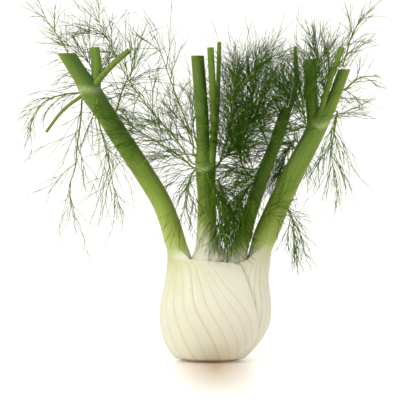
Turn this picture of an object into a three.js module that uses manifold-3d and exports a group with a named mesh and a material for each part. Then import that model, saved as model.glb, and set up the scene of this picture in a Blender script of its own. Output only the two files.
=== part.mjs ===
import * as THREE from "three";
import { mergeVertices } from "three/addons/utils/BufferGeometryUtils.js";
import Module from "manifold-3d";

// A fennel bulb with its stalks cut short and its feathery fronds left on.
// Millimetres, +Z up. The origin is the centre of the cut root face, -Y is the front,
// and the leaves fan out to the left (-X) and to the right (+X).

const wasm = await Module();
wasm.setup();

// Clearances
const GAP = 0.3; // open between neighbouring pieces
const NEST = 1.3; // open between nested sheaths where nothing shows
const FOOT_GAP = 0.55; // open between a frond's foot and the even curve of its stalk, which is cut in flats
const THREAD_CLEAR = 0.45; // open between a thread and whatever it passes

// Bulb outline by height: height, half width, middle in x, half depth
const BULB = [
  [0, 27.9, 0, 22],
  [7.3, 35.7, 0.4, 28],
  [16.8, 42.7, 1.9, 33],
  [25.7, 46.7, 3.3, 35.6],
  [34.5, 49.2, 4.4, 37],
  [48, 49.7, 4.9, 36.8],
  [60, 48, 5.5, 34],
  [72, 46.1, 6.1, 30],
  [88.5, 45.8, 7.8, 23.5],
  [104, 45.8, 8, 18],
];

// Root plate: the trimmed disc of stem under the sheaths
const PLATE = {
  height: 2.4,
  footHalf: 18, // half the width of the cut face
  rimHalf: 27.2,
  rimHeight: 1.8,
  topInset: 0.6,
  depthRatio: 0.8,
  sides: 36,
};

// Sheaths
const SHEATH_BASE = PLATE.height + GAP;
const EDGE = 1.2; // thickness of a sheath at its margin
const MARGIN_FADE = 12; // degrees past a margin in which the next sheath comes up to the surface
const HIDDEN_FADE = 50; // the same past a margin that another sheath hides
const RIM_LOW = 88; // height where the outer sheath's rim starts to run in to its stalk
const RIM_HIGH = 91.2; // height where it meets the stalk
const NECK = { coreFrom: 56, innerFrom: 66, innerTo: 92, outerFrom: 88, outerTo: 104, top: 102 };
const FLAP = { from: 35, to: 75 }; // degrees past which a sheath stays a thin flap up to its rim
const RIB_DEPTH = 0.6; // grooves between the ribs of a sheath
const FANNED = { foot: 1.48, from: -12, to: 64, levelFrom: 40, most: 0.78, firmness: 4 };
const UPRIGHT = { angle: 105, most: 0.92, firmness: 6 };
const LAST_STEP = 24; // how sharply the last columns step out to the margin
const RIB_FADE = { from: 70, to: 98, left: 0.15 };

// A smooth curve through rows of numbers: reads one column where the first column is at
function curveAt(rows, at, column) {
  const last = rows.length - 1;
  if (at <= rows[0][0]) return rows[0][column];
  if (at >= rows[last][0]) return rows[last][column];
  let i = 0;
  while (at > rows[i + 1][0]) i++;
  const slope = (k) => {
    const before = rows[Math.max(k - 1, 0)];
    const after = rows[Math.min(k + 1, last)];
    return (after[column] - before[column]) / (after[0] - before[0]);
  };
  const span = rows[i + 1][0] - rows[i][0];
  const t = (at - rows[i][0]) / span;
  const start = rows[i][column];
  const end = rows[i + 1][column];
  return (
    start * (1 + 2 * t) * (1 - t) ** 2 +
    slope(i) * span * t * (1 - t) ** 2 +
    end * t * t * (3 - 2 * t) +
    slope(i + 1) * span * t * t * (t - 1)
  );
}

const smooth = (from, to, x) => THREE.MathUtils.smoothstep(x, from, to);
const mix = THREE.MathUtils.lerp;
const rad = THREE.MathUtils.degToRad;

// The leaves from the outermost in. side is -1 for left and 1 for right. reach is how far the sheath goes
// round the bulb by height: height, degrees round the front, degrees round the back. stalk is the stalk's
// middle line and section by height: height, x, y, half width, half depth. Its last row is the cut end of
// the main stub above the joint. twigs are the other cut branches: points, root radius, end radius.
const LEAVES = [
  {
    name: "outer_left_leaf",
    side: -1,
    wall: 7,
    ribs: 20,
    veins: "fanned",
    insideSteps: 20,
    stalkSides: 12,
    reach: [
      [0, 160, 150],
      [15, 150, 141],
      [40, 138, 128],
      [65, 129, 118],
      [80, 120, 107],
      [RIM_LOW, 106, 92],
      [RIM_HIGH, 57, 57],
    ],
    stalk: [
      [86, -27, 0, 11, 13],
      [94, -27.5, 0, 10.5, 12],
      [108, -31.4, -0.8, 9.3, 10.4],
      [124.8, -36.4, -1.5, 8.8, 9.6],
      [142.5, -43.8, -2, 8.6, 9.3],
      [169, -59.9, -2.5, 8.6, 9.2],
      [195.6, -77.5, -3, 8.6, 9],
      [222.1, -94.6, -3.5, 8.6, 9],
      [233, -101.8, -3.7, 9.3, 9.4],
      [241, -107, -4, 8.9, 9],
      [250, -112.6, -4.3, 7.4, 7.6],
      [271.7, -126.1, -5, 7, 7.2],
    ],
    twigs: [
      { points: [[-102, -3, 238], [-100, -1, 257.5], [-101.8, 1, 277]], from: 4.6, to: 4.2, sides: 8 },
      { points: [[-104.4, -6, 241], [-88, -10, 259.5], [-70.8, -13, 274.4]], from: 3, to: 2.3, sides: 7 },
      { points: [[-108, -4, 238], [-129.2, -7, 222.1], [-144.3, -9, 202.7]], from: 1.6, to: 1.2, sides: 5 },
    ],
  },
  {
    name: "outer_right_leaf",
    side: 1,
    wall: 6,
    ribs: 12,
    veins: "upright",
    insideSteps: 16,
    stalkSides: 12,
    reach: [
      [0, 140, 140],
      [30, 120, 125],
      [60, 105, 110],
      [75, 92, 100],
      [85, 74, 84],
      [RIM_LOW, 66, 74],
      [RIM_HIGH, 58, 58],
    ],
    stalk: [
      [86.7, 42.5, 0, 10.8, 12.5],
      [101.8, 46.2, -0.8, 10.4, 11.2],
      [115.9, 51.1, -1.6, 10.4, 10.6],
      [141.1, 61.8, -3, 9.7, 10],
      [168.2, 74.4, -4.2, 9.1, 9.4],
      [186.2, 84, -5, 8.8, 9],
      [204.4, 93.2, -6, 8.5, 8.6],
      [214, 98, -6.6, 8.1, 8.2],
      [226.6, 106.2, -7.4, 5.6, 5.8],
      [257.5, 118.1, -9, 5, 5.2],
    ],
    twigs: [
      { points: [[92.5, -5, 206], [89.8, -2, 231], [88.9, 0, 266.4]], from: 5.8, to: 5.4, sides: 9 },
      { points: [[96, -9, 214], [104.4, -15, 246], [115.9, -19, 277]], from: 2.7, to: 2.2, sides: 7 },
    ],
  },
  {
    name: "centre_leaf",
    side: -1,
    wall: 5,
    ribs: 8,
    veins: "even",
    insideSteps: 13,
    stalkSides: 12,
    reach: [
      [0, 120, 120],
      [60, 104, 104],
      [RIM_HIGH, 90, 90],
    ],
    stalk: [
      [88, -1.4, -1, 14.6, 15.6],
      [92, -1.2, -1.4, 14.8, 15.6],
      [98, -1, -2.2, 12.8, 14.4],
      [106, -2.4, -2.3, 10, 11],
      [131.9, -2.7, -1.6, 8.15, 9],
      [159.3, -3.5, -0.8, 8.15, 8.9],
      [170, -3.7, -0.5, 8.9, 9.2],
      [178, -5, -0.3, 8.2, 8.4],
      [188, -5.8, 0, 6, 6.2],
      [217.7, -7.1, 1, 5.8, 6],
      [269.9, -11, 3, 5.7, 5.8],
    ],
    twigs: [
      { points: [[1, -4.4, 172], [3.6, -7, 205], [0.4, -9, 277]], from: 3.2, to: 2.9, sides: 8 },
      { points: [[1.5, 3.5, 172], [6, 8, 215], [8.3, 10, 282.3]], from: 2.2, to: 1.8, sides: 6 },
    ],
  },
  {
    name: "inner_right_leaf",
    side: 1,
    wall: 0,
    ribs: 8,
    veins: "even",
    insideSteps: 9,
    stalkSides: 10,
    reach: [
      [0, 90, 90],
      [RIM_HIGH, 90, 90],
    ],
    stalk: [
      [88, 23.6, 0.4, 9, 15],
      [92, 24, 0.6, 8.8, 14.6],
      [98, 24.8, 1.4, 8.2, 11.6],
      [105.3, 28, 2.6, 7.4, 8.6],
      [130.1, 35.4, 4, 6.4, 6.8],
      [163.7, 46.8, 6, 6, 6.2],
      [191.2, 57.5, 7, 5.4, 5.6],
      [206, 62.6, 7.4, 5.6, 5.7],
      [224, 68, 8, 4.4, 4.6],
    ],
    twigs: [
      { points: [[64.5, 5, 206], [75.5, 2, 240], [75.2, 0, 277.9]], from: 2.1, to: 1.6, sides: 6 },
    ],
  },
];

// The feathery fronds. points run from the stalk to the tip. count is the number of side stems, reach the
// length of the longest, threads how many leaflets each carries, length how long those are, and droop how
// fast they bend down.
const FRONDS = [
  {
    name: "frond_left_curl",
    points: [
      [-12.8, 2, 173.5], [-31, 6, 197.4], [-53, 9, 222], [-71, 12, 247], [-83, 13, 268],
      [-90, 13, 284], [-97, 12, 297], [-101, 11, 304],
    ],
    count: 8, reach: 28, threads: 2, length: 21, droop: 0.5,
  },
  {
    name: "frond_left_inner",
    points: [[-11.8, -3, 182], [-15, -5, 193], [-22, -9, 214], [-34, -13, 246], [-46, -16, 280]],
    count: 4, reach: 22, threads: 2, length: 21, droop: 0.12,
  },
  {
    name: "frond_left_hanging",
    points: [
      [-112, 0, 231.5], [-114, -4, 214], [-117, -8, 190], [-119, -10, 170], [-124, -12, 154],
      [-122.5, -12, 140],
    ],
    count: 6, reach: 26, threads: 2, length: 22, droop: 0.4,
  },
  {
    name: "frond_left_hanging_front",
    points: [[-99.5, -13, 231], [-98, -16, 214], [-93, -18, 195], [-88, -18, 172], [-84, -17, 150]],
    count: 5, reach: 25, threads: 2, length: 22, droop: 0.35,
  },
  {
    name: "frond_centre_left",
    points: [[-12.4, -2, 171], [-26, -6, 181], [-42, -10, 191], [-58, -13, 201], [-71, -14, 209]],
    count: 5, reach: 25, threads: 2, length: 21, droop: 0.3,
  },
  {
    name: "frond_left_top",
    points: [
      [-121, 5, 262], [-127.4, 10, 275.2], [-133.5, 10, 286], [-142, 9, 297], [-147.4, 8, 307],
    ],
    count: 4, reach: 19, threads: 2, length: 16, droop: 0.12,
  },
  {
    name: "frond_left_side",
    points: [[-113, 3, 238], [-128, 5, 236], [-146, 6, 230], [-158, 7, 214]],
    count: 5, reach: 20, threads: 2, length: 17, droop: 0.3,
  },
  {
    name: "frond_left_upright",
    points: [[-83, -7, 221], [-79, -12, 234], [-73, -15, 248], [-64, -17, 262]],
    count: 4, reach: 19, threads: 2, length: 21, droop: 0.2,
  },
  {
    name: "frond_left_back",
    points: [[-100, 6, 238], [-102, 18, 249], [-107, 28, 262], [-115, 34, 275]],
    count: 6, reach: 28, threads: 2, length: 21, droop: 0.3,
  },
  {
    name: "frond_centre_low_left",
    points: [[-12.6, -1, 169], [-17, -6, 163], [-21, -10, 151], [-21, -12, 138], [-18, -13, 125]],
    count: 5, reach: 21, threads: 2, length: 19, droop: 0.35,
  },
  {
    name: "frond_centre_front",
    points: [
      [-3.5, -10, 168], [0, -15, 158], [5, -18, 145], [10, -20, 133], [14, -21, 122],
      [15, -22, 113],
    ],
    count: 7, reach: 21, threads: 2, length: 15, droop: 0.4,
  },
  {
    name: "frond_centre_low_right",
    points: [
      [5.8, -4, 160], [9, -9, 157], [12, -12, 147], [13, -15, 134], [13, -18, 122], [13, -20, 112],
    ],
    count: 5, reach: 17, threads: 2, length: 14, droop: 0.5,
  },
  {
    name: "frond_centre_right",
    points: [
      [5.7, 0, 172], [12, -3, 185], [17, -5, 201], [19, -8, 218], [20, -10, 232], [22, -11, 245],
    ],
    count: 6, reach: 24, threads: 2, length: 21, droop: 0.25,
  },
  {
    name: "frond_centre_plume",
    points: [[5, 5, 173], [18, 10, 186], [31, 12, 202], [37, 12, 222], [38, 11, 242], [41, 9, 260]],
    count: 8, reach: 26, threads: 2, length: 21, droop: 0.35,
  },
  {
    name: "frond_centre_back",
    points: [[-4, 9.6, 170], [-9, 22, 182], [-14, 34, 202], [-16, 42, 228]],
    count: 6, reach: 27, threads: 2, length: 21, droop: 0.25,
  },
  {
    name: "frond_inner_front",
    points: [[57, 0, 190], [62, -8, 203], [66, -14, 216], [68, -18, 230], [68, -19, 243]],
    count: 7, reach: 25, threads: 2, length: 21, droop: 0.3,
  },
  {
    name: "frond_inner_left",
    points: [[46, 2, 165], [38, -3, 163], [31, -6, 168], [26, -9, 181], [25, -11, 198]],
    count: 6, reach: 23, threads: 2, length: 19, droop: 0.2,
  },
  {
    name: "frond_inner_back",
    points: [[55, 12, 184], [50, 22, 195], [45, 31, 212], [44, 37, 230], [50, 40, 245]],
    count: 6, reach: 27, threads: 2, length: 21, droop: 0.25,
  },
  {
    name: "frond_inner_low",
    points: [[43, -2, 159], [37, -9, 157], [30, -14, 149], [24, -17, 137], [20, -19, 125]],
    count: 4, reach: 19, threads: 2, length: 15, droop: 0.7,
  },
  {
    name: "frond_right_front",
    points: [[92, -15, 206], [87, -21, 206], [83, -26, 211], [81, -29, 223], [79, -31, 238]],
    count: 6, reach: 28, threads: 2, length: 21, droop: 0.25,
  },
  {
    name: "frond_right_top",
    points: [[95.5, -2, 252], [96, -4, 260], [95, -5, 269], [93, -5, 278]],
    count: 5, reach: 15, threads: 2, length: 16, droop: 0.1,
  },
  {
    name: "frond_right_top_outer",
    points: [[116.5, -15, 262], [120, -12, 272], [124, -8, 286], [131, -6, 299]],
    count: 5, reach: 19, threads: 2, length: 16, droop: 0.1,
  },
  {
    name: "frond_right_side",
    points: [[118, -6, 240], [125, -4, 246], [135, -2, 251.3], [146, 0, 252]],
    count: 5, reach: 12, threads: 2, length: 14, droop: 0.25,
  },
  {
    name: "frond_right_hanging",
    points: [[109, -5, 221], [111, -7, 212], [108.5, -9, 198], [107, -10, 183], [109, -10, 168]],
    count: 6, reach: 24, threads: 2, length: 20, droop: 0.35,
  },
  {
    name: "frond_right_back",
    points: [[99, 3, 212], [102, 16, 224], [105, 28, 242], [107, 36, 264]],
    count: 6, reach: 28, threads: 2, length: 21, droop: 0.2,
  },
  {
    name: "frond_right_low",
    points: [
      [50, -10, 130], [56, -15, 137], [64, -16, 139], [70, -15, 133], [73, -13, 122],
      [73, -12, 112], [74, -12, 103],
    ],
    count: 6, reach: 19, threads: 2, length: 14, droop: 0.5,
  },
  {
    name: "frond_right_inner",
    points: [[81, 4, 187], [76, 14, 196], [72, 17, 190], [66, 18, 177], [61, 19, 165]],
    count: 6, reach: 15, threads: 2, length: 16, droop: 0.4,
  },
];

// Fronds in millimetres: stems are round enough with four sides, leaflets are three-sided needles
const STEM = { root: 1.1, tip: 0.5, heel: 1.8, sides: 4, step: 20 };
const SIDE_STEM = {
  root: 0.6,
  sides: 3,
  steps: 2,
  lowest: 0.16, // share of the main stem below the first one
  highest: 0.985,
  place: 0.7, // how far along its own stretch of the main stem each one starts
  lean: 52,
  leanLoss: 22,
  longest: 1.15, // length at the foot of the main stem, as a share of the frond's reach
  shorten: 0.6,
  vary: [0.8, 1.2],
  scatter: 50,
};
const NEEDLE = {
  root: 0.38,
  sides: 3,
  lowest: 0.2,
  span: 0.6, // share of the side stem that bears needles
  place: 0.5, // how far along its own stretch each one may start
  lean: 40,
  vary: [0.75, 1.15],
  scatter: 90,
};
const POINT_SHARE = 0.8; // thickness of a thread at its last bend, as a share of its root's
const GOLDEN_TURN = 137.5; // degrees round a stem from one side stem to the next
const TRIES = 8; // for a clear way
const TRY_TURN = 69; // degrees between one try for a clear way and the next
const FLOOR_CLEAR = 4; // least height of a thread
const BULB_CLEAR = 2; // open between a thread and the bulb
const CLEAR_SHARES = [0.25, 0.5, 0.75, 1]; // where along a thread its clearance of the bulb is tried
const MELT = 0.02; // details finer than this are dropped when a frond is fused
const NEAR_UP = 0.8; // a direction with more than this of +Z is leant from across +X instead
const NEAR_FRONT = 0.9; // a tube heading with more than this of Y takes its cross-section from +X instead
const SAME_POINT = 1e-3;
const PARALLEL = 1e-9;

// Heights of the sheath sections. The close ones carry the outer sheath's rim in to its stalk.
const SHEATH_LEVELS = [SHEATH_BASE, 8, 16, 26, 37, 48, 60, 71, 80, RIM_LOW];
const RIM_LEVELS = [89, 90.1];
const NECK_LEVELS = [RIM_HIGH, 93.5, 97, NECK.top];

// The stalk's sections between the neck and the cut end
const STALK_STEP = 19;

// A point of the bulb's surface, or under it. Azimuth goes from the left side round the front, and is
// negative round the back.
function bulbPoint(azimuth, z, depth) {
  const halfWidth = curveAt(BULB, z, 1) - depth;
  const halfDepth = curveAt(BULB, z, 3) - depth;
  const turn = rad(azimuth);
  return new THREE.Vector3(
    curveAt(BULB, z, 2) - halfWidth * Math.cos(turn),
    -halfDepth * Math.sin(turn),
    z,
  );
}

// The same direction as an angle from the middle of a leaf's side, and back again
const fromSide = (leaf, angle) => (leaf.side < 0 ? angle : (angle < 0 ? -180 : 180) - angle);

// How far a sheath reaches at a height, on the side that the angle is on
const margin = (leaf, angle, z) => curveAt(leaf.reach, z, angle < 0 ? 2 : 1);

// Thickness of a sheath, thinning to its margins
function wallAt(leaf, angle, z) {
  const across = Math.min(Math.abs(angle) / margin(leaf, angle, z), 1);
  return EDGE + (leaf.wall - EDGE) * Math.sqrt(1 - across * across);
}

// How deep a leaf's outer face lies under the bulb's surface, below the leaves outside it
function depthAt(order, azimuth, z) {
  const level = Math.min(z, RIM_LOW);
  let depth = 0;
  for (const leaf of LEAVES.slice(0, order)) {
    const angle = fromSide(leaf, azimuth);
    const edge = margin(leaf, angle, level);
    const past = Math.abs(angle) - edge;
    const [edgeGap, fade] = leaf === LEAVES[0] ? [2 * GAP, MARGIN_FADE] : [NEST, HIDDEN_FADE];
    if (past >= 0) {
      depth += (EDGE + edgeGap) * (1 - smooth(0, fade, past));
      continue;
    }
    depth += wallAt(leaf, angle, level) + mix(NEST, edgeGap, (angle / edge) ** 2);
  }
  return depth;
}

// A share that grows evenly and then levels off at a most
const levelled = (share, most, firmness) => share / (1 + (share / most) ** firmness) ** (1 / firmness);

// How far towards its margin a leaf's column of points lies, as a share, below the last step to the margin
function veinShare(leaf, share, edge, z) {
  if (leaf.veins === "fanned") {
    const spread = mix(FANNED.foot, 1, smooth(FANNED.from, FANNED.to, z));
    const low = spread * share + (1 - spread) * share ** 3;
    return mix(low, levelled(share, FANNED.most, FANNED.firmness), smooth(FANNED.levelFrom, RIM_LOW, z));
  }
  if (leaf.veins === "upright") {
    return levelled((UPRIGHT.angle * share) / edge, UPRIGHT.most, UPRIGHT.firmness);
  }
  return share;
}

// Where a leaf's column of points lies round the bulb, from -1 at the back margin to 1 at the front one.
// The columns follow its veins. The left leaf's fan out from its stalk and sweep round the front, and the
// right leaf's run straight up under them.
function ribAngle(leaf, across, z) {
  const edge = margin(leaf, across, z);
  const share = Math.abs(across);
  const last = (1 - veinShare(leaf, 1, edge, z)) * share ** LAST_STEP;
  return edge * Math.sign(across) * (veinShare(leaf, share, edge, z) + last);
}

// A point of the stalk's section laid flat at a height. Angle as from the leaf's side.
function ovalPoint(leaf, angle, z) {
  const [x, y, halfWidth, halfDepth] = [1, 2, 3, 4].map((column) => curveAt(leaf.stalk, z, column));
  const turn = rad(angle);
  return new THREE.Vector3(
    x + leaf.side * halfWidth * Math.cos(turn),
    y - halfDepth * Math.sin(turn),
    z,
  );
}

// One closed section of a sheath: its outer face from the back margin to the front one, then its inner
// face back. In the neck both faces draw in to the stalk's oval.
function sheathRing(leaf, order, z) {
  const isCore = leaf.wall === 0;
  const isOutside = order < 2;
  const innerBlend = smooth(isCore ? NECK.coreFrom : NECK.innerFrom, NECK.innerTo, z);
  const outerBlend = isOutside ? smooth(NECK.outerFrom, NECK.outerTo, z) : innerBlend;
  const flapBlend = isOutside ? smooth(RIM_LOW, NECK.innerTo, z) : 1;
  const groove = RIB_DEPTH * mix(1, RIB_FADE.left, smooth(RIB_FADE.from, RIB_FADE.to, z));
  const ring = [];
  for (let i = 0; i <= 2 * leaf.ribs; i++) {
    const across = i / leaf.ribs - 1;
    const angle = ribAngle(leaf, across, z);
    const isGroove = i % 2 === 0 && Math.abs(across) < 1;
    const relief = isOutside && isGroove ? groove : 0;
    const azimuth = fromSide(leaf, angle);
    const point = bulbPoint(azimuth, z, depthAt(order, azimuth, z) + relief);
    ring.push(point.lerp(ovalPoint(leaf, 90 * across, z), outerBlend));
  }
  for (let i = isCore ? 1 : 0; i <= leaf.insideSteps - (isCore ? 1 : 0); i++) {
    const across = 1 - (2 * i) / leaf.insideSteps;
    const angle = isCore ? 180 - 90 * across : across * margin(leaf, across, z);
    const azimuth = fromSide(leaf, isCore && angle > 180 ? angle - 360 : angle);
    const wall = isCore ? 0 : wallAt(leaf, angle, z);
    const point = bulbPoint(azimuth, z, depthAt(order, azimuth, z) + wall);
    const stay = smooth(FLAP.from, FLAP.to, Math.abs(angle)) * (1 - flapBlend);
    ring.push(point.lerp(ovalPoint(leaf, 180 - 90 * across, z), innerBlend * (1 - stay)));
  }
  return leaf.side < 0 ? ring : [ring[0], ...ring.slice(1).reverse()];
}

// The middle of a stalk at a height
const stalkMiddle = (leaf, z) => new THREE.Vector3(curveAt(leaf.stalk, z, 1), curveAt(leaf.stalk, z, 2), z);

// One section of the stalk, square to its middle line, or level where it was cut
function stalkRing(leaf, z, isCut) {
  const centre = stalkMiddle(leaf, z);
  const above = stalkMiddle(leaf, Math.min(z + 1, leaf.stalk.at(-1)[0]));
  const ahead = above.sub(stalkMiddle(leaf, z - 1)).normalize();
  const front = new THREE.Vector3(0, -1, 0);
  const outward = new THREE.Vector3().crossVectors(ahead, front).normalize().multiplyScalar(leaf.side);
  if (isCut) outward.set(leaf.side / ahead.z, 0, 0);
  const halfWidth = curveAt(leaf.stalk, z, 3);
  const halfDepth = curveAt(leaf.stalk, z, 4);
  const ring = [];
  for (let i = 0; i < leaf.stalkSides; i++) {
    const turn = (2 * Math.PI * i) / leaf.stalkSides - Math.PI / 2;
    ring.push(
      centre
        .clone()
        .addScaledVector(outward, halfWidth * Math.cos(turn))
        .addScaledVector(front, halfDepth * Math.sin(turn)),
    );
  }
  return leaf.side < 0 ? ring : [ring[0], ...ring.slice(1).reverse()];
}

// Turns triangles given as points into one closed solid
function solidFrom(triangles) {
  const flat = new THREE.BufferGeometry().setFromPoints(triangles.flat());
  return solidOf(flat);
}

// Turns a closed geometry into a solid: shared points are merged and empty triangles dropped
function solidOf(geometry) {
  const bare = new THREE.BufferGeometry().setAttribute("position", geometry.getAttribute("position"));
  if (geometry.index) bare.setIndex(geometry.index);
  const merged = mergeVertices(bare, SAME_POINT);
  const corners = merged.index.array;
  const kept = [];
  for (let i = 0; i < corners.length; i += 3) {
    const [a, b, c] = corners.slice(i, i + 3);
    if (a !== b && b !== c && c !== a) kept.push(a, b, c);
  }
  return new wasm.Manifold(
    new wasm.Mesh({
      numProp: 3,
      vertProperties: new Float32Array(merged.getAttribute("position").array),
      triVerts: new Uint32Array(kept),
    }),
  );
}

// Closes the end of a loft. The ring turns anticlockwise as seen from outside.
function capOf(ring) {
  const normal = new THREE.Vector3();
  ring.forEach((point, i) => {
    const next = ring[(i + 1) % ring.length];
    normal.add(point.clone().cross(next));
  });
  normal.normalize();
  const along = ring[1].clone().sub(ring[0]).normalize();
  const aside = new THREE.Vector3().crossVectors(normal, along);
  const outline = ring.map((point) => new THREE.Vector2(point.dot(along), point.dot(aside)));
  return THREE.ShapeUtils.triangulateShape(outline, []).map((face) => face.map((i) => ring[i]));
}

// How far round a ring each point is, from 0 to 1, with the first point again at the end
function shares(ring) {
  const reach = [0];
  ring.forEach((point, i) => reach.push(reach[i] + point.distanceTo(ring[(i + 1) % ring.length])));
  return reach.map((length) => length / reach[ring.length]);
}

// Joins closed sections into a solid. Sections may differ in their number of points.
function loft(rings) {
  const triangles = [];
  for (let level = 0; level + 1 < rings.length; level++) {
    const [lower, upper] = [rings[level], rings[level + 1]];
    const isSame = lower.length === upper.length;
    const lowerShare = isSame ? lower.map((_, i) => i).concat(lower.length) : shares(lower);
    const upperShare = isSame ? lowerShare : shares(upper);
    let i = 0;
    let j = 0;
    while (i < lower.length || j < upper.length) {
      const a = lower[i % lower.length];
      const b = upper[j % upper.length];
      if (j === upper.length || (i < lower.length && lowerShare[i + 1] <= upperShare[j + 1])) {
        triangles.push([a, lower[++i % lower.length], b]);
      } else {
        triangles.push([a, upper[++j % upper.length], b]);
      }
    }
  }
  triangles.push(...capOf([...rings[0]].reverse()), ...capOf(rings.at(-1)));
  return solidFrom(triangles);
}

// A round branch through points, tapering evenly, with flat ends or a pointed tip
function branch(points, from, to, sides) {
  const lengths = [0];
  points.slice(1).forEach((point, i) => lengths.push(lengths[i] + point.distanceTo(points[i])));
  const rings = points.map((point, i) => {
    const before = points[Math.max(i - 1, 0)];
    const after = points[Math.min(i + 1, points.length - 1)];
    const ahead = after.clone().sub(before).normalize();
    const helper = Math.abs(ahead.y) > NEAR_FRONT ? new THREE.Vector3(1, 0, 0) : new THREE.Vector3(0, -1, 0);
    const across = new THREE.Vector3().crossVectors(helper, ahead).normalize();
    const beside = new THREE.Vector3().crossVectors(ahead, across);
    const radius = mix(from, to || from * POINT_SHARE, lengths[i] / lengths.at(-1));
    return Array.from({ length: sides }, (_, side) =>
      point
        .clone()
        .addScaledVector(across, radius * Math.cos((2 * Math.PI * side) / sides))
        .addScaledVector(beside, radius * Math.sin((2 * Math.PI * side) / sides)),
    );
  });
  if (to > 0) return loft(rings);
  const tip = points.at(-1);
  const last = rings.at(-2);
  const triangles = last.map((corner, i) => [corner, last[(i + 1) % sides], tip]);
  triangles.push(...capOf([...rings[0]].reverse()));
  for (let level = 0; level + 2 < rings.length; level++) {
    rings[level].forEach((corner, i) => {
      const next = (i + 1) % sides;
      triangles.push([corner, rings[level][next], rings[level + 1][next]]);
      triangles.push([corner, rings[level + 1][next], rings[level + 1][i]]);
    });
  }
  return solidFrom(triangles);
}

// The smooth line through hand-set points
const lineOf = (points, steps) =>
  new THREE.CatmullRomCurve3(points.map((point) => new THREE.Vector3(...point))).getSpacedPoints(steps);

const TWIG_STEPS = 4;

function makeLeaf(leaf, order) {
  const rimLevels = order === 0 ? RIM_LEVELS : [];
  const levels = [...SHEATH_LEVELS, ...rimLevels, ...NECK_LEVELS];
  const rings = levels.map((z) => sheathRing(leaf, order, z));
  const end = leaf.stalk.at(-1)[0];
  const start = NECK.top + STALK_STEP / 2;
  const steps = Math.round((end - start) / STALK_STEP);
  for (let i = 0; i < steps; i++) rings.push(stalkRing(leaf, mix(start, end, i / steps), false));
  rings.push(stalkRing(leaf, end, true));
  const twigs = leaf.twigs.map(({ points, from, to, sides }) => {
    return branch(lineOf(points, TWIG_STEPS), from, to, sides);
  });
  return wasm.Manifold.union([loft(rings), ...twigs]);
}

// A repeatable draw from 0 to 1 for a key of whole numbers
const DRAW_WEIGHTS = [12.9898, 78.233, 37.719, 59.421];
const DRAW_SPREAD = 43758.5453;
function draw(...key) {
  const value = DRAW_SPREAD * Math.sin(key.reduce((sum, part, i) => sum + part * DRAW_WEIGHTS[i], 1));
  return value - Math.floor(value);
}

// Round pieces already in place, which later threads keep clear of
const limbs = [];
const LIMB_STEP = 8; // length of the straight pieces that stand for a stalk there

function addStalkLimbs(leaf) {
  const end = leaf.stalk.at(-1)[0];
  for (let z = NECK.innerTo; z < end; z += LIMB_STEP) {
    const [from, to] = [z, Math.min(z + LIMB_STEP, end)].map((height) => stalkMiddle(leaf, height));
    const [halfWidth, halfDepth] = [3, 4].map((column) => curveAt(leaf.stalk, z, column));
    limbs.push({ from, to, halfWidth, halfDepth });
  }
  for (const twig of leaf.twigs) {
    const points = lineOf(twig.points, TWIG_STEPS);
    points.slice(1).forEach((to, i) => {
      const radius = mix(twig.from, twig.to, i / TWIG_STEPS);
      limbs.push({ from: points[i], to, halfWidth: radius, halfDepth: radius });
    });
  }
}

// The shortest line between two straight pieces, as its two ends
function nearest(a, b) {
  const u = a.to.clone().sub(a.from);
  const v = b.to.clone().sub(b.from);
  const w = a.from.clone().sub(b.from);
  const [uu, uv, vv, uw, vw] = [u.dot(u), u.dot(v), v.dot(v), u.dot(w), v.dot(w)];
  const clamp = (x) => Math.min(Math.max(x, 0), 1);
  const cross = uu * vv - uv * uv;
  let s = cross > PARALLEL ? clamp((uv * vw - vv * uw) / cross) : 0;
  const t = vv > PARALLEL ? clamp((uv * s + vw) / vv) : 0;
  s = uu > PARALLEL ? clamp((uv * t - uw) / uu) : 0;
  return [a.from.clone().addScaledVector(u, s), b.from.clone().addScaledVector(v, t)];
}

// The stalk's radius towards a direction, from its half width and half depth
function radiusTowards(limb, direction) {
  const depthShare = (direction.y / direction.length()) ** 2;
  return 1 / Math.sqrt((1 - depthShare) / limb.halfWidth ** 2 + depthShare / limb.halfDepth ** 2);
}

// True where a straight piece is clear of the bulb, the floor and every other piece but its own stem
function isClear(piece, stem) {
  for (const share of CLEAR_SHARES) {
    const point = piece.from.clone().lerp(piece.to, share);
    const [halfWidth, middle, halfDepth] = [1, 2, 3].map((column) => curveAt(BULB, point.z, column));
    const across = (point.x - middle) / (halfWidth + BULB_CLEAR);
    const deep = point.y / (halfDepth + BULB_CLEAR);
    if (point.z < FLOOR_CLEAR || (point.z < NECK.top && across ** 2 + deep ** 2 < 1)) return false;
  }
  return limbs.every((limb) => {
    if (limb.stem === stem) return true;
    const [near, far] = nearest(piece, limb);
    const apart = near.distanceTo(far);
    const reach = limb.radius ?? Math.max(limb.halfWidth, limb.halfDepth);
    return apart > reach + piece.radius + THREAD_CLEAR;
  });
}

// The foot of a frond, just off the stalk that it grows from, and its heel, straight out from there
function seat(point) {
  const piece = { from: point, to: point };
  const lines = limbs.filter((limb) => limb.halfWidth).map((limb) => ({ limb, ends: nearest(piece, limb) }));
  const gapOf = ({ limb, ends }) => ends[0].distanceTo(ends[1]) - limb.halfWidth;
  const { limb, ends } = lines.reduce((best, line) => (gapOf(line) < gapOf(best) ? line : best));
  const outward = point.clone().sub(ends[1]);
  const surface = radiusTowards(limb, outward) + FOOT_GAP;
  return [surface, surface + STEM.heel].map((length) => ends[1].clone().add(outward.setLength(length)));
}

// A direction that leans away from a stem's own, turned round it by an angle
function leanFrom(ahead, turn, lean) {
  const helper = Math.abs(ahead.z) > NEAR_UP ? new THREE.Vector3(1, 0, 0) : new THREE.Vector3(0, 0, 1);
  const across = new THREE.Vector3().crossVectors(ahead, helper).normalize();
  return ahead
    .clone()
    .multiplyScalar(Math.cos(rad(lean)))
    .addScaledVector(across.applyAxisAngle(ahead, rad(turn)), Math.sin(rad(lean)));
}

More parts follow.
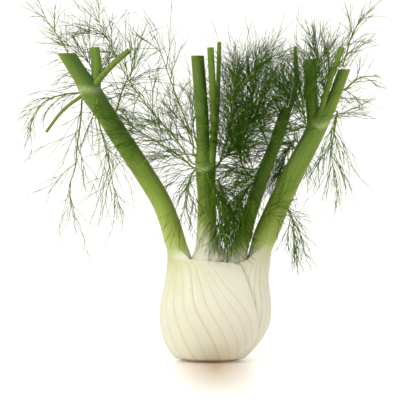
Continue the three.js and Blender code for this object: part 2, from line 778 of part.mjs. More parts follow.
// A thread or side stem that finds a clear way from a point: turned round its stem until nothing is hit
function sprout({ start, ahead, turn, lean, length, steps, droop, radius, stem }) {
  for (let attempt = 0; attempt < TRIES; attempt++) {
    const heading = leanFrom(ahead, turn + attempt * TRY_TURN, lean);
    const points = [start];
    for (let step = 0; step < steps; step++) {
      points.push(points[step].clone().addScaledVector(heading, length / steps));
      heading.z -= droop;
      heading.normalize();
    }
    const pieces = points.slice(1).map((to, i) => ({ from: points[i], to, radius }));
    if (pieces.every((piece) => isClear(piece, stem))) return { points, pieces };
  }
  return null;
}

// Where a line of points is at a share of its length, and which way it heads there
function alongLine(points, share) {
  const at = Math.min(share * (points.length - 1), points.length - 1.001);
  const i = Math.floor(at);
  const ahead = points[i + 1].clone().sub(points[i]);
  return { start: points[i].clone().addScaledVector(ahead, at - i), ahead: ahead.normalize() };
}

// A frond's main stem
function growStem(frond) {
  const points = frond.points.map((point) => new THREE.Vector3(...point));
  const [foot, heel] = seat(points[0]);
  const curve = new THREE.CatmullRomCurve3([heel, ...points.slice(1)]);
  frond.stem = [foot, ...curve.getSpacedPoints(Math.round(curve.getLength() / STEM.step))];
  frond.stem.slice(1).forEach((to, i) => {
    limbs.push({ from: frond.stem[i], to, radius: STEM.root, stem: frond.name });
  });
  frond.solids = [branch(frond.stem, STEM.root, STEM.tip, STEM.sides)];
}

// Its side stems, the longest of them low down
function growSideStems(frond, seed) {
  const { lowest, highest, place, lean, leanLoss, longest, shorten, vary, scatter } = SIDE_STEM;
  frond.sideStems = [];
  for (let i = 0; i < frond.count; i++) {
    const share = Math.min(mix(lowest, 1, (i + place) / frond.count), highest);
    const grown = sprout({
      ...alongLine(frond.stem, share),
      turn: i * GOLDEN_TURN + scatter * draw(seed, i, 1),
      lean: lean - leanLoss * share,
      length: frond.reach * (longest - shorten * share) * mix(...vary, draw(seed, i, 2)),
      steps: SIDE_STEM.steps,
      droop: frond.droop,
      radius: SIDE_STEM.root,
      stem: frond.name,
    });
    if (!grown) continue;
    const stem = frond.name + i;
    grown.pieces.forEach((piece) => limbs.push({ ...piece, stem }));
    frond.sideStems.push({ ...grown, stem, key: i });
    frond.solids.push(branch(grown.points, SIDE_STEM.root, 0, SIDE_STEM.sides));
  }
}

// The leaflets on each side stem
function growThreads(frond, seed) {
  const { lowest, span, place, lean, vary, scatter } = NEEDLE;
  for (const { points, stem, key } of frond.sideStems) {
    for (let i = 0; i < frond.threads; i++) {
      const grown = sprout({
        ...alongLine(points, lowest + (span * (i + place * draw(seed, key, i, 3))) / frond.threads),
        turn: i * GOLDEN_TURN + scatter * draw(seed, key, i, 4),
        lean,
        length: frond.length * mix(...vary, draw(seed, key, i, 5)),
        steps: 1,
        droop: 0,
        radius: NEEDLE.root,
        stem,
      });
      if (!grown) continue;
      grown.pieces.forEach((piece) => limbs.push({ ...piece, stem: stem + "." + i }));
      frond.solids.push(branch(grown.points, NEEDLE.root, 0, NEEDLE.sides));
    }
  }
}

function makeRootPlate() {
  const { height, footHalf, rimHalf, rimHeight, topInset, depthRatio, sides } = PLATE;
  const outline = [
    [0, 0],
    [footHalf, 0],
    [rimHalf, rimHeight],
    [rimHalf - topInset, height],
    [0, height],
  ].map(([x, y]) => new THREE.Vector2(x, y));
  const plate = new THREE.LatheGeometry(outline, sides);
  plate.rotateX(Math.PI / 2);
  plate.scale(1, depthRatio, 1);
  return solidOf(plate);
}

// Finishes
function finish(color, roughness) {
  return new THREE.MeshStandardMaterial({ color, roughness, metalness: 0, flatShading: true });
}

const FINISH = {
  root: finish(0xcbb38f, 0.8),
  sheath: finish(0xebe5cb, 0.45),
  frond: finish(0x5a7f2c, 0.55),
};

const fennel = new THREE.Group();

function addNode(name, solid, material) {
  const made = solid.getMesh();
  const geometry = new THREE.BufferGeometry();
  geometry.setAttribute("position", new THREE.BufferAttribute(made.vertProperties, 3));
  geometry.setIndex(new THREE.BufferAttribute(made.triVerts, 1));
  const mesh = new THREE.Mesh(geometry, material);
  mesh.name = name;
  fennel.add(mesh);
}

addNode("root_plate", makeRootPlate(), FINISH.root);
LEAVES.forEach((leaf, order) => addNode(leaf.name, makeLeaf(leaf, order), FINISH.sheath));
LEAVES.forEach(addStalkLimbs);
FRONDS.forEach(growStem);
FRONDS.forEach(growSideStems);
FRONDS.forEach(growThreads);
FRONDS.forEach((frond) => {
  const solid = wasm.Manifold.union(frond.solids).simplify(MELT);
  addNode(frond.name, solid, FINISH.frond);
});

export default fennel;
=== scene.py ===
"""A fennel bulb: nested ribbed sheaths, green stalks cut short, and feathery thread-leaved fronds.

Every leaf and frond is grown again along the lines of its solid, finer than the solid can be. Lengths are in
millimetres until a mesh is made.
"""

import bpy
import numpy as np
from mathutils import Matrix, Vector


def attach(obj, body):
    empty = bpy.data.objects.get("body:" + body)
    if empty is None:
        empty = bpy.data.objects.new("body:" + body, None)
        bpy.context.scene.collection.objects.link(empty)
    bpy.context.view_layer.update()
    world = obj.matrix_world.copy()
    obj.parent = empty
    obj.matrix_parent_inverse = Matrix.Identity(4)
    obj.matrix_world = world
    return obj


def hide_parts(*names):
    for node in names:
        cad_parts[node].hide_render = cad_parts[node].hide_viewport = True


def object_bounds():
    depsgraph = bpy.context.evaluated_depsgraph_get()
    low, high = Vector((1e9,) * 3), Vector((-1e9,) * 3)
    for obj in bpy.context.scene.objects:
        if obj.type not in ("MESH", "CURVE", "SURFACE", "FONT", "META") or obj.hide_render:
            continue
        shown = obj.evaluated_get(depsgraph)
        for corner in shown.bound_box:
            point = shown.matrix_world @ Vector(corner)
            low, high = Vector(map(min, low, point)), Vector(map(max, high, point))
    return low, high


bl_info = {
    "name": "Fennel bulb",
    "version": (1, 0, 0),
    "blender": (4, 5, 0),
    "location": "View3D > Sidebar > Fennel",
    "description": "Grows a fennel bulb's flesh, stalks and fronds, and sets its stage",
    "category": "Object",
}

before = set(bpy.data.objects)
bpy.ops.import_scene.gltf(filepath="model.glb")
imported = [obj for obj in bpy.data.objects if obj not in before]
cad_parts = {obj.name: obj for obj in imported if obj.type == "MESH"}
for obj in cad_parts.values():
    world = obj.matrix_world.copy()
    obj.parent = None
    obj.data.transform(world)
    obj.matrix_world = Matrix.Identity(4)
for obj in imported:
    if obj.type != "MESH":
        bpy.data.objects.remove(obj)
cad_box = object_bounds()

MM = 0.001  # metres in a millimetre

# Clearances
GAP = 0.3  # open between neighbouring pieces
NEST = 1.3  # open between nested sheaths where nothing shows
THREAD_CLEAR = 0.45  # open between a thread and whatever it passes
THREAD_REACH = 6  # how far threads may reach past the solids' box

# Bulb outline by height: height, half width, middle in x, half depth
BULB = [
    [0, 27.9, 0, 22],
    [7.3, 35.7, 0.4, 28],
    [16.8, 42.7, 1.9, 33],
    [25.7, 46.7, 3.3, 35.6],
    [34.5, 49.2, 4.4, 37],
    [48, 49.7, 4.9, 36.8],
    [60, 48, 5.5, 34],
    [72, 46.1, 6.1, 30],
    [88.5, 45.8, 7.8, 23.5],
    [104, 45.8, 8, 18],
]

# The trimmed disc of stem under the sheaths: radius and height along its profile
PLATE_DEPTH_SHARE = 0.8
PLATE_PROFILE = [[18, 0], [20, 0.3], [26.4, 1.5], [27.1, 1.9], [26.2, 2.4]]

# Sheaths
SHEATH_BASE = 2.7
EDGE = 1.2  # thickness of a sheath at its margin
MARGIN_FADE = 12  # degrees past a margin in which the next sheath comes up to the surface
HIDDEN_FADE = 50  # the same past a margin that another sheath hides
RIM_LOW = 88  # height where the outer sheath's rim starts to run in to its stalk
RIM_HIGH = 91.2  # height where it meets the stalk
NECK_TOP = 102
CORE_FROM = 56
INNER_BLEND = (66, 92)  # heights over which a sheath's inner face draws in to its stalk
OUTER_BLEND = (88, 104)
# Painted light: the outer side of each stalk is painted paler than its inner side, as a painted lit side
PAINTED_LIT_SIDE_PALE = 0.16  # how much paler than its inner side the outer side of a stalk is
JOINT = {"half": 2.6, "waver": 3, "pale": 0.42}  # pale ring where the branches leave a stalk
FOOT_SQUARE = 0.62  # less than 1 for feet squarer than an oval
RIM_THINNING = 0.9
RIM_THINS = (62, 86)  # heights over which a sheath thins to its rim
FLAP = (35, 75)  # degrees past which a sheath stays a thin flap up to its rim
RIB_FADE = (70, 98, 0.15)
STALK_STEP = 19  # height over which a stalk's sections turn square to it
CROWDING = 0.7  # how much closer together the columns of points stand at a groove

# The leaves from the outermost in. side is -1 for left and 1 for right. reach is how far the sheath goes
# round the bulb by height: height, degrees round the front, degrees round the back. stalk is the stalk's
# middle line and section by height: height, x, y, half width, half depth. Its last row is the cut end of
# the main stub above the joint. twigs are the other cut branches: points, root radius, end radius.
# greening says by height how far the flesh has turned from white, 0, to full green, 1.
LEAVES = [
    {
        "name": "outer_left_leaf",
        "side": -1,
        "wall": 7,
        "joint": 240,
        "ribs": 20,
        "fine": 6,
        "veins": "fanned",
        "reach": [
            [0, 160, 150],
            [15, 150, 141],
            [40, 138, 128],
            [65, 129, 118],
            [80, 120, 107],
            [RIM_LOW, 106, 92],
            [RIM_HIGH, 57, 57],
        ],
        "stalk": [
            [86, -27, 0, 11, 13],
            [94, -27.5, 0, 10.5, 12],
            [108, -31.4, -0.8, 9.3, 10.4],
            [124.8, -36.4, -1.5, 8.8, 9.6],
            [142.5, -43.8, -2, 8.6, 9.3],
            [169, -59.9, -2.5, 8.6, 9.2],
            [195.6, -77.5, -3, 8.6, 9],
            [222.1, -94.6, -3.5, 8.6, 9],
            [233, -101.8, -3.7, 9.3, 9.4],
            [241, -107, -4, 8.9, 9],
            [250, -112.6, -4.3, 7.4, 7.6],
            [271.7, -126.1, -5, 7, 7.2],
        ],
        "twigs": [
            {"points": [[-102, -3, 238], [-100, -1, 257.5], [-101.8, 1, 277]], "radii": (4.6, 4.2)},
            {"points": [[-104.4, -6, 241], [-88, -10, 259.5], [-70.8, -13, 274.4]], "radii": (3, 2.3)},
            {"points": [[-108, -4, 238], [-129.2, -7, 222.1], [-144.3, -9, 202.7]], "radii": (1.6, 1.2)},
        ],
        "greening": [[50, 0.04], [72, 0.15], [92, 0.31], [105, 0.42], [122, 0.55], [150, 0.7], [200, 0.86], [272, 0.94]],
    },
    {
        "name": "outer_right_leaf",
        "side": 1,
        "wall": 6,
        "joint": 210,
        "ribs": 24,
        "fine": 4,
        "veins": "upright",
        "reach": [
            [0, 140, 140],
            [30, 120, 125],
            [60, 105, 110],
            [75, 92, 100],
            [85, 74, 84],
            [RIM_LOW, 66, 74],
            [RIM_HIGH, 58, 58],
        ],
        "stalk": [
            [86.7, 42.5, 0, 10.8, 12.5],
            [101.8, 46.2, -0.8, 10.4, 11.2],
            [115.9, 51.1, -1.6, 10.4, 10.6],
            [141.1, 61.8, -3, 9.7, 10],
            [168.2, 74.4, -4.2, 9.1, 9.4],
            [186.2, 84, -5, 8.8, 9],
            [204.4, 93.2, -6, 8.5, 8.6],
            [214, 98, -6.6, 8.1, 8.2],
            [226.6, 106.2, -7.4, 5.6, 5.8],
            [257.5, 118.1, -9, 5, 5.2],
        ],
        "twigs": [
            {"points": [[92.5, -5, 206], [89.8, -2, 231], [88.9, 0, 266.4]], "radii": (5.8, 5.4)},
            {"points": [[96, -9, 214], [104.4, -15, 246], [115.9, -19, 277]], "radii": (2.7, 2.2)},
        ],
        "greening": [[60, 0.02], [84, 0.1], [98, 0.26], [112, 0.52], [130, 0.66], [160, 0.73], [257, 0.83]],
    },
    {
        "name": "centre_leaf",
        "side": -1,
        "wall": 5,
        "joint": 172,
        "ribs": 8,
        "fine": 9,
        "veins": "even",
        "reach": [[0, 120, 120], [60, 104, 104], [RIM_HIGH, 90, 90]],
        "stalk": [
            [88, -1.2, -1.4, 15.2, 19.6],
            [92, -0.6, -1.8, 15.6, 18],
            [98, -0.2, -2.2, 13.6, 15],
            [106, -2.4, -2.3, 10, 11],
            [131.9, -2.7, -1.6, 8.15, 9],
            [159.3, -3.5, -0.8, 8.15, 8.9],
            [170, -3.7, -0.5, 8.9, 9.2],
            [178, -5, -0.3, 8.2, 8.4],
            [188, -5.8, 0, 6, 6.2],
            [217.7, -7.1, 1, 5.8, 6],
            [269.9, -11, 3, 5.7, 5.8],
        ],
        "twigs": [
            {"points": [[1, -4.4, 172], [3.6, -7, 205], [0.4, -9, 277]], "radii": (3.2, 2.9)},
            {"points": [[1.5, 3.5, 172], [6, 8, 215], [8.3, 10, 282.3]], "radii": (2.2, 1.8)},
        ],
        "greening": [[90, 0.04], [104, 0.14], [118, 0.34], [140, 0.7], [160, 0.84], [200, 0.88], [270, 0.94]],
    },
    {
        "name": "inner_right_leaf",
        "side": 1,
        "wall": 0,
        "joint": 205,
        "ribs": 8,
        "fine": 9,
        "veins": "even",
        "reach": [[0, 90, 90], [RIM_HIGH, 90, 90]],
        "stalk": [
            [88, 24, 0.2, 9.2, 16.6],
            [92, 24.2, 0.4, 9, 15.6],
            [98, 24.4, 1.2, 9.2, 12.6],
            [105.3, 28, 2.6, 7.4, 8.6],
            [130.1, 35.4, 4, 6.4, 6.8],
            [163.7, 46.8, 6, 6, 6.2],
            [191.2, 57.5, 7, 5.4, 5.6],
            [206, 62.6, 7.4, 5.6, 5.7],
            [224, 68, 8, 4.4, 4.6],
        ],
        "twigs": [{"points": [[64.5, 5, 206], [75.5, 2, 240], [75.2, 0, 277.9]], "radii": (2.1, 1.6)}],
        "greening": [[88, 0.05], [98, 0.25], [110, 0.6], [140, 0.85], [224, 0.9]],
    },
]

# The feathery fronds. points run from the stalk to the tip. count is the number of the solid's side stems,
# reach the length of the longest, threads how many needles each carries there, length how long those are,
# and droop how fast they bend down. fullness is how thickly threads stand, and cool how blue their green is.
FRONDS = [
    {
        "name": "frond_left_curl",
        "points": [
            [-12.8, 2, 173.5],
            [-31, 6, 197.4],
            [-53, 9, 222],
            [-71, 12, 247],
            [-83, 13, 268],
            [-90, 13, 284],
            [-97, 12, 297],
            [-101, 11, 304],
        ],
        "count": 8, "reach": 28, "threads": 2, "length": 21, "droop": 0.5, "fullness": 1.0, "cool": 0.1,
    },
    {
        "name": "frond_left_inner",
        "points": [
            [-11.8, -3, 182],
            [-15, -5, 193],
            [-22, -9, 214],
            [-34, -13, 246],
            [-46, -16, 280],
        ],
        "count": 4, "reach": 22, "threads": 2, "length": 21, "droop": 0.12, "fullness": 0.5, "cool": 0.2,
    },
    {
        "name": "frond_left_hanging",
        "points": [
            [-112, 0, 231.5],
            [-114, -4, 214],
            [-117, -8, 190],
            [-119, -10, 170],
            [-124, -12, 154],
            [-122.5, -12, 140],
        ],
        "count": 6, "reach": 26, "threads": 2, "length": 22, "droop": 0.4, "fullness": 0.3, "cool": 0.1,
    },
    {
        "name": "frond_left_hanging_front",
        "points": [
            [-99.5, -13, 231],
            [-98, -16, 214],
            [-93, -18, 195],
            [-88, -18, 172],
            [-84, -17, 150],
        ],
        "count": 5, "reach": 25, "threads": 2, "length": 22, "droop": 0.35, "fullness": 0.45, "cool": 0.1,
    },
    {
        "name": "frond_centre_left",
        "points": [
            [-12.4, -2, 171],
            [-26, -6, 181],
            [-42, -10, 191],
            [-58, -13, 201],
            [-71, -14, 209],
        ],
        "count": 5, "reach": 25, "threads": 2, "length": 21, "droop": 0.3, "fullness": 1.6, "cool": 0.1,
    },
    {
        "name": "frond_left_top",
        "points": [[-121, 5, 262], [-127.4, 10, 275.2], [-133.5, 10, 286], [-142, 9, 297], [-147.4, 8, 307]],
        "count": 4, "reach": 19, "threads": 2, "length": 16, "droop": 0.12, "fullness": 0.25, "cool": 0.1,
    },
    {
        "name": "frond_left_side",
        "points": [[-113, 3, 238], [-128, 5, 236], [-146, 6, 230], [-158, 7, 214]],
        "count": 5, "reach": 20, "threads": 2, "length": 17, "droop": 0.3, "fullness": 0.3, "cool": 0.1,
    },
    {
        "name": "frond_left_upright",
        "points": [
            [-83, -7, 221],
            [-79, -12, 234],
            [-73, -15, 248],
            [-64, -17, 262],
        ],
        "count": 4, "reach": 19, "threads": 2, "length": 21, "droop": 0.2, "fullness": 0.7, "cool": 0.2,
    },
    {
        "name": "frond_left_back",
        "points": [
            [-100, 6, 238],
            [-102, 18, 249],
            [-107, 28, 262],
            [-115, 34, 275],
        ],
        "count": 6, "reach": 28, "threads": 2, "length": 21, "droop": 0.3, "fullness": 1.0, "cool": 0.2,
    },
    {
        "name": "frond_centre_low_left",
        "points": [
            [-12.6, -1, 169],
            [-17, -6, 163],
            [-21, -10, 151],
            [-21, -12, 138],
            [-18, -13, 125],
        ],
        "count": 5, "reach": 21, "threads": 2, "length": 19, "droop": 0.35, "fullness": 0.7, "cool": 0.3,
    },
    {
        "name": "frond_centre_front",
        "points": [
            [-3.5, -10, 168],
            [0, -15, 158],
            [5, -18, 145],
            [10, -20, 133],
            [14, -21, 122],
            [15, -22, 113],
        ],
        "count": 7, "reach": 21, "threads": 2, "length": 15, "droop": 0.4, "fullness": 2.6, "cool": 0.2,
    },
    {
        "name": "frond_centre_low_right",
        "points": [
            [5.8, -4, 160],
            [9, -9, 157],
            [12, -12, 147],
            [13, -15, 134],
            [13, -18, 122],
            [13, -20, 112],
        ],
        "count": 5, "reach": 17, "threads": 2, "length": 14, "droop": 0.5, "fullness": 2.8, "cool": 0.2,
    },
    {
        "name": "frond_centre_right",
        "points": [
            [5.7, 0, 172],
            [12, -3, 185],
            [17, -5, 201],
            [19, -8, 218],
            [20, -10, 232],
            [22, -11, 245],
        ],
        "count": 6, "reach": 24, "threads": 2, "length": 21, "droop": 0.25, "fullness": 2.8, "cool": 0.3,
    },
    {
        "name": "frond_centre_plume",
        "points": [
            [5, 5, 173],
            [18, 10, 186],
            [31, 12, 202],
            [37, 12, 222],
            [38, 11, 242],
            [41, 9, 260],
        ],
        "count": 8, "reach": 26, "threads": 2, "length": 21, "droop": 0.35, "fullness": 3.1, "cool": 0.4,
    },
    {
        "name": "frond_centre_back",
        "points": [[-4, 9.6, 170], [-9, 22, 182], [-14, 34, 202], [-16, 42, 228]],
        "count": 6, "reach": 27, "threads": 2, "length": 21, "droop": 0.25, "fullness": 1.2, "cool": 0.4,
    },
    {
        "name": "frond_inner_front",
        "points": [
            [57, 0, 190],
            [62, -8, 203],
            [66, -14, 216],
            [68, -18, 230],
            [68, -19, 243],
        ],
        "count": 7, "reach": 25, "threads": 2, "length": 21, "droop": 0.3, "fullness": 2.2, "cool": 0.9,
    },
    {
        "name": "frond_inner_left",
        "points": [
            [46, 2, 165],
            [38, -3, 163],
            [31, -6, 168],
            [26, -9, 181],
            [25, -11, 198],
        ],
        "count": 6, "reach": 23, "threads": 2, "length": 19, "droop": 0.2, "fullness": 4.5, "cool": 0.5,
    },
    {
        "name": "frond_inner_back",
        "points": [
            [55, 12, 184],
            [50, 22, 195],
            [45, 31, 212],
            [44, 37, 230],
            [50, 40, 245],
        ],
        "count": 6, "reach": 27, "threads": 2, "length": 21, "droop": 0.25, "fullness": 2.0, "cool": 0.5,
    },
    {
        "name": "frond_inner_low",
        "points": [
            [43, -2, 159],
            [37, -9, 157],
            [30, -14, 149],
            [24, -17, 137],
            [20, -19, 125],
        ],
        "count": 4, "reach": 19, "threads": 2, "length": 15, "droop": 0.7, "fullness": 4.5, "cool": 0.1,
    },
    {
        "name": "frond_right_front",
        "points": [
            [92, -15, 206],
            [87, -21, 206],
            [83, -26, 211],
            [81, -29, 223],
            [79, -31, 238],
        ],
        "count": 6, "reach": 28, "threads": 2, "length": 21, "droop": 0.25, "fullness": 3.0, "cool": 0.7,
    },
    {
        "name": "frond_right_top",
        "points": [
            [95.5, -2, 252],
            [96, -4, 260],
            [95, -5, 269],
            [93, -5, 278],
        ],
        "count": 5, "reach": 15, "threads": 2, "length": 16, "droop": 0.1, "fullness": 0.9, "cool": 0.3,
    },
    {
        "name": "frond_right_top_outer",
        "points": [[116.5, -15, 262], [120, -12, 272], [124, -8, 286], [131, -6, 299]],
        "count": 5, "reach": 19, "threads": 2, "length": 16, "droop": 0.1, "fullness": 0.25, "cool": 0.2,
    },
    {
        "name": "frond_right_side",
        "points": [[118, -6, 240], [125, -4, 246], [135, -2, 251.3], [146, 0, 252]],
        "count": 5, "reach": 12, "threads": 2, "length": 14, "droop": 0.25, "fullness": 0.1, "cool": 0.2,
    },
    {
        "name": "frond_right_hanging",
        "points": [
            [109, -5, 221],
            [111, -7, 212],
            [108.5, -9, 198],
            [107, -10, 183],
            [109, -10, 168],
        ],
        "count": 6, "reach": 24, "threads": 2, "length": 20, "droop": 0.35, "fullness": 0.6, "cool": 0.1,
    },
    {
        "name": "frond_right_back",
        "points": [[99, 3, 212], [102, 16, 224], [105, 28, 242], [107, 36, 264]],
        "count": 6, "reach": 28, "threads": 2, "length": 21, "droop": 0.2, "fullness": 1.8, "cool": 0.4,
    },
    {
        "name": "frond_right_low",
        "points": [
            [50, -10, 130],
            [56, -15, 137],
            [64, -16, 139],
            [70, -15, 133],
            [73, -13, 122],
            [73, -12, 112],
            [74, -12, 103],
        ],
        "count": 6, "reach": 19, "threads": 2, "length": 14, "droop": 0.5, "fullness": 0.8, "cool": 0.3,
    },
    {
        "name": "frond_right_inner",
        "points": [
            [81, 4, 187],
            [76, 14, 196],
            [72, 17, 190],
            [66, 18, 177],
            [61, 19, 165],
        ],
        "count": 6, "reach": 15, "threads": 2, "length": 16, "droop": 0.4, "fullness": 3.2, "cool": 0.2,
    },
]

# The sweep: how far it runs flat behind the bulb, the radius of its bend, and half its width
SWEEP = {"flat": 4600, "bend": 900, "half": 7000}

# How the solids' stems branch, which the finer stems follow
STEM = {"root": 1.1, "heel": 1.8, "step": 20}
SIDE_STEM = {
    "root": 0.6, "steps": 2, "lowest": 0.16, "lean": 52, "lean_loss": 22, "shorten": 0.6, "scatter": 50,
}
NEEDLE = {"root": 0.38, "lowest": 0.2, "span": 0.6, "lean": 40, "scatter": 90}
GOLDEN_TURN = 137.5  # degrees round a stem from one side stem to the next
TRIES = 8
TRY_TURN = 69
FLOOR_CLEAR = 4
BULB_CLEAR = 2
FOOT_GAP = 0.55
LIMB_STEP = 8
TWIG_STEPS = 4
DRAW_WEIGHTS = (12.9898, 78.233, 37.719, 59.421)
DRAW_SPREAD = 43758.5453

# The finer growth. per_stem is how many each stem carries, lean how far they lean from it in degrees, and
# length how long they are as a share of the frond's own needle length.
TIP = {"per_stem": 2, "lean": 14, "curl": 1.0, "length": 1.2, "steps": 7}
THREAD = {"per_stem": 4, "lean": 24, "curl": 1.9, "length": 2.15, "steps": 7}
FORK = {"per_stem": 2, "lean": 18, "curl": 1.5, "length": 1.05, "steps": 5}


def smooth(low, high, x):
    """0 below low, 1 above high, and an even S between them."""
    t = np.clip((np.asarray(x, float) - low) / (high - low), 0, 1)
    return t * t * (3 - 2 * t)


def mix(a, b, t):
    """a where t is 0 and b where it is 1."""
    return a + (b - a) * t


def unit(vectors):
    """The same directions with length 1."""
    return vectors / np.linalg.norm(vectors, axis=-1, keepdims=True)


def curve_at(rows, at, column):
    """A smooth curve through rows of numbers: reads one column where the first column is at."""
    table = np.array(rows, float)
    heights = table[:, 0]
    values = table[:, column]
    last = len(rows) - 1
    before = np.maximum(np.arange(last + 1) - 1, 0)
    after = np.minimum(np.arange(last + 1) + 1, last)
    slopes = (values[after] - values[before]) / (heights[after] - heights[before])
    at = np.clip(np.asarray(at, float), heights[0], heights[-1])
    i = np.clip(np.searchsorted(heights, at) - 1, 0, last - 1)
    span = heights[i + 1] - heights[i]
    t = (at - heights[i]) / span
    return (
        values[i] * (1 + 2 * t) * (1 - t) ** 2
        + slopes[i] * span * t * (1 - t) ** 2
        + values[i + 1] * t * t * (3 - 2 * t)
        + slopes[i + 1] * span * t * t * (t - 1)
    )


def spaced(points, steps=None, step=None):
    """Evenly spaced points on the smooth line through given points, and that line's length."""
    points = np.array(points, float)
    ends = np.vstack([2 * points[0] - points[1], points, 2 * points[-1] - points[-2]])
    pace = np.linalg.norm(np.diff(ends, axis=0), axis=1) ** 0.5

    def at(share):
        place = share * (len(points) - 1)
        i = np.minimum(place.astype(int), len(points) - 2)
        t = (place - i)[:, None]
        p0, p1, p2, p3 = ends[i], ends[i + 1], ends[i + 2], ends[i + 3]
        d0, d1, d2 = (pace[i + k][:, None] for k in range(3))
        start = ((p1 - p0) / d0 - (p2 - p0) / (d0 + d1) + (p2 - p1) / d1) * d1
        end = ((p2 - p1) / d1 - (p3 - p1) / (d1 + d2) + (p3 - p2) / d2) * d1
        return p1 + start * t + (3 * (p2 - p1) - 2 * start - end) * t**2 + (2 * (p1 - p2) + start + end) * t**3

    shares = np.linspace(0, 1, 201)
    lengths = np.concatenate([[0], np.cumsum(np.linalg.norm(np.diff(at(shares), axis=0), axis=1))])
    steps = steps or round(lengths[-1] / step)
    return at(np.interp(np.linspace(0, lengths[-1], steps + 1), lengths, shares)), lengths[-1]


def draw(*key):
    """A repeatable draw from 0 to 1 for a key of whole numbers."""
    value = DRAW_SPREAD * np.sin(1 + sum(part * weight for part, weight in zip(key, DRAW_WEIGHTS)))
    return value - np.floor(value)


def bulb_point(azimuth, z, depth):
    """A point of the bulb's surface, or under it. Azimuth goes from the left side round the front."""
    turn = np.radians(azimuth)
    x = curve_at(BULB, z, 2) - (curve_at(BULB, z, 1) - depth) * np.cos(turn)
    y = -(curve_at(BULB, z, 3) - depth) * np.sin(turn)
    return np.stack(np.broadcast_arrays(x, y, z), axis=-1)


def from_side(leaf, angle):
    """The same direction as an angle from the middle of a leaf's side, and back again."""
    return angle if leaf["side"] < 0 else np.where(angle < 0, -180, 180) - angle


def margin(leaf, angle, z):
    """How far a sheath reaches at a height, on the side that the angle is on."""
    return np.where(angle < 0, curve_at(leaf["reach"], z, 2), curve_at(leaf["reach"], z, 1))


def wall_at(leaf, angle, z):
    """Thickness of a sheath, thinning to its margins and, away from its stalk, to its rim."""
    across = np.minimum(np.abs(angle) / margin(leaf, angle, z), 1)
    thinning = 1 - RIM_THINNING * smooth(*RIM_THINS, z) * smooth(*FLAP, np.abs(angle))
    return EDGE + (leaf["wall"] - EDGE) * np.sqrt(1 - across**2) * thinning


def depth_at(order, azimuth, z):
    """How deep a leaf's outer face lies under the bulb's surface, below the leaves outside it."""
    level = np.minimum(z, RIM_LOW)
    depth = 0
    for leaf in LEAVES[:order]:
        angle = from_side(leaf, azimuth)
        edge = margin(leaf, angle, level)
        past = np.abs(angle) - edge
        edge_gap, fade = (2 * GAP, MARGIN_FADE) if leaf is LEAVES[0] else (NEST, HIDDEN_FADE)
        beyond = (EDGE + edge_gap) * (1 - smooth(0, fade, past))
        under = wall_at(leaf, angle, level) + mix(NEST, edge_gap, (angle / edge) ** 2)
        depth = depth + np.where(past >= 0, beyond, under)
    return depth


def levelled(share, most, firmness):
    """A share that grows evenly and then levels off at a most."""
    return share / (1 + (share / most) ** firmness) ** (1 / firmness)


def rib_angle(leaf, across, z):
    """Where a leaf's column of points lies round the bulb. The left leaf's veins fan out from its stalk and
    sweep round the front, and the right leaf's run straight up under them."""
    edge = margin(leaf, across, z)
    share = np.abs(across)

    def lie(share):
        if leaf["veins"] == "fanned":
            spread = mix(1.48, 1.0, smooth(-12, 64, z))
            return mix(spread * share + (1 - spread) * share**3, levelled(share, 0.78, 4), smooth(40, RIM_LOW, z))
        if leaf["veins"] == "upright":
            return levelled(105 * share / edge, 0.92, 6)
        return share

    return edge * np.sign(across) * (lie(share) + (1 - lie(1.0)) * share**24)


def oval_point(leaf, angle, z):
    """A point of the stalk's section laid flat at a height. The feet of the inner stalks fill out square."""
    x, y, half_width, half_depth = (curve_at(leaf["stalk"], z, column) for column in (1, 2, 3, 4))
    turn = np.radians(angle)
    power = mix(FOOT_SQUARE, 1, smooth(90, NECK_TOP, z)) if leaf["veins"] == "even" else 1
    wide, deep = (np.sign(part) * np.abs(part) ** power for part in (np.cos(turn), np.sin(turn)))
    return np.stack(np.broadcast_arrays(x + leaf["side"] * half_width * wide, y - half_depth * deep, z), axis=-1)


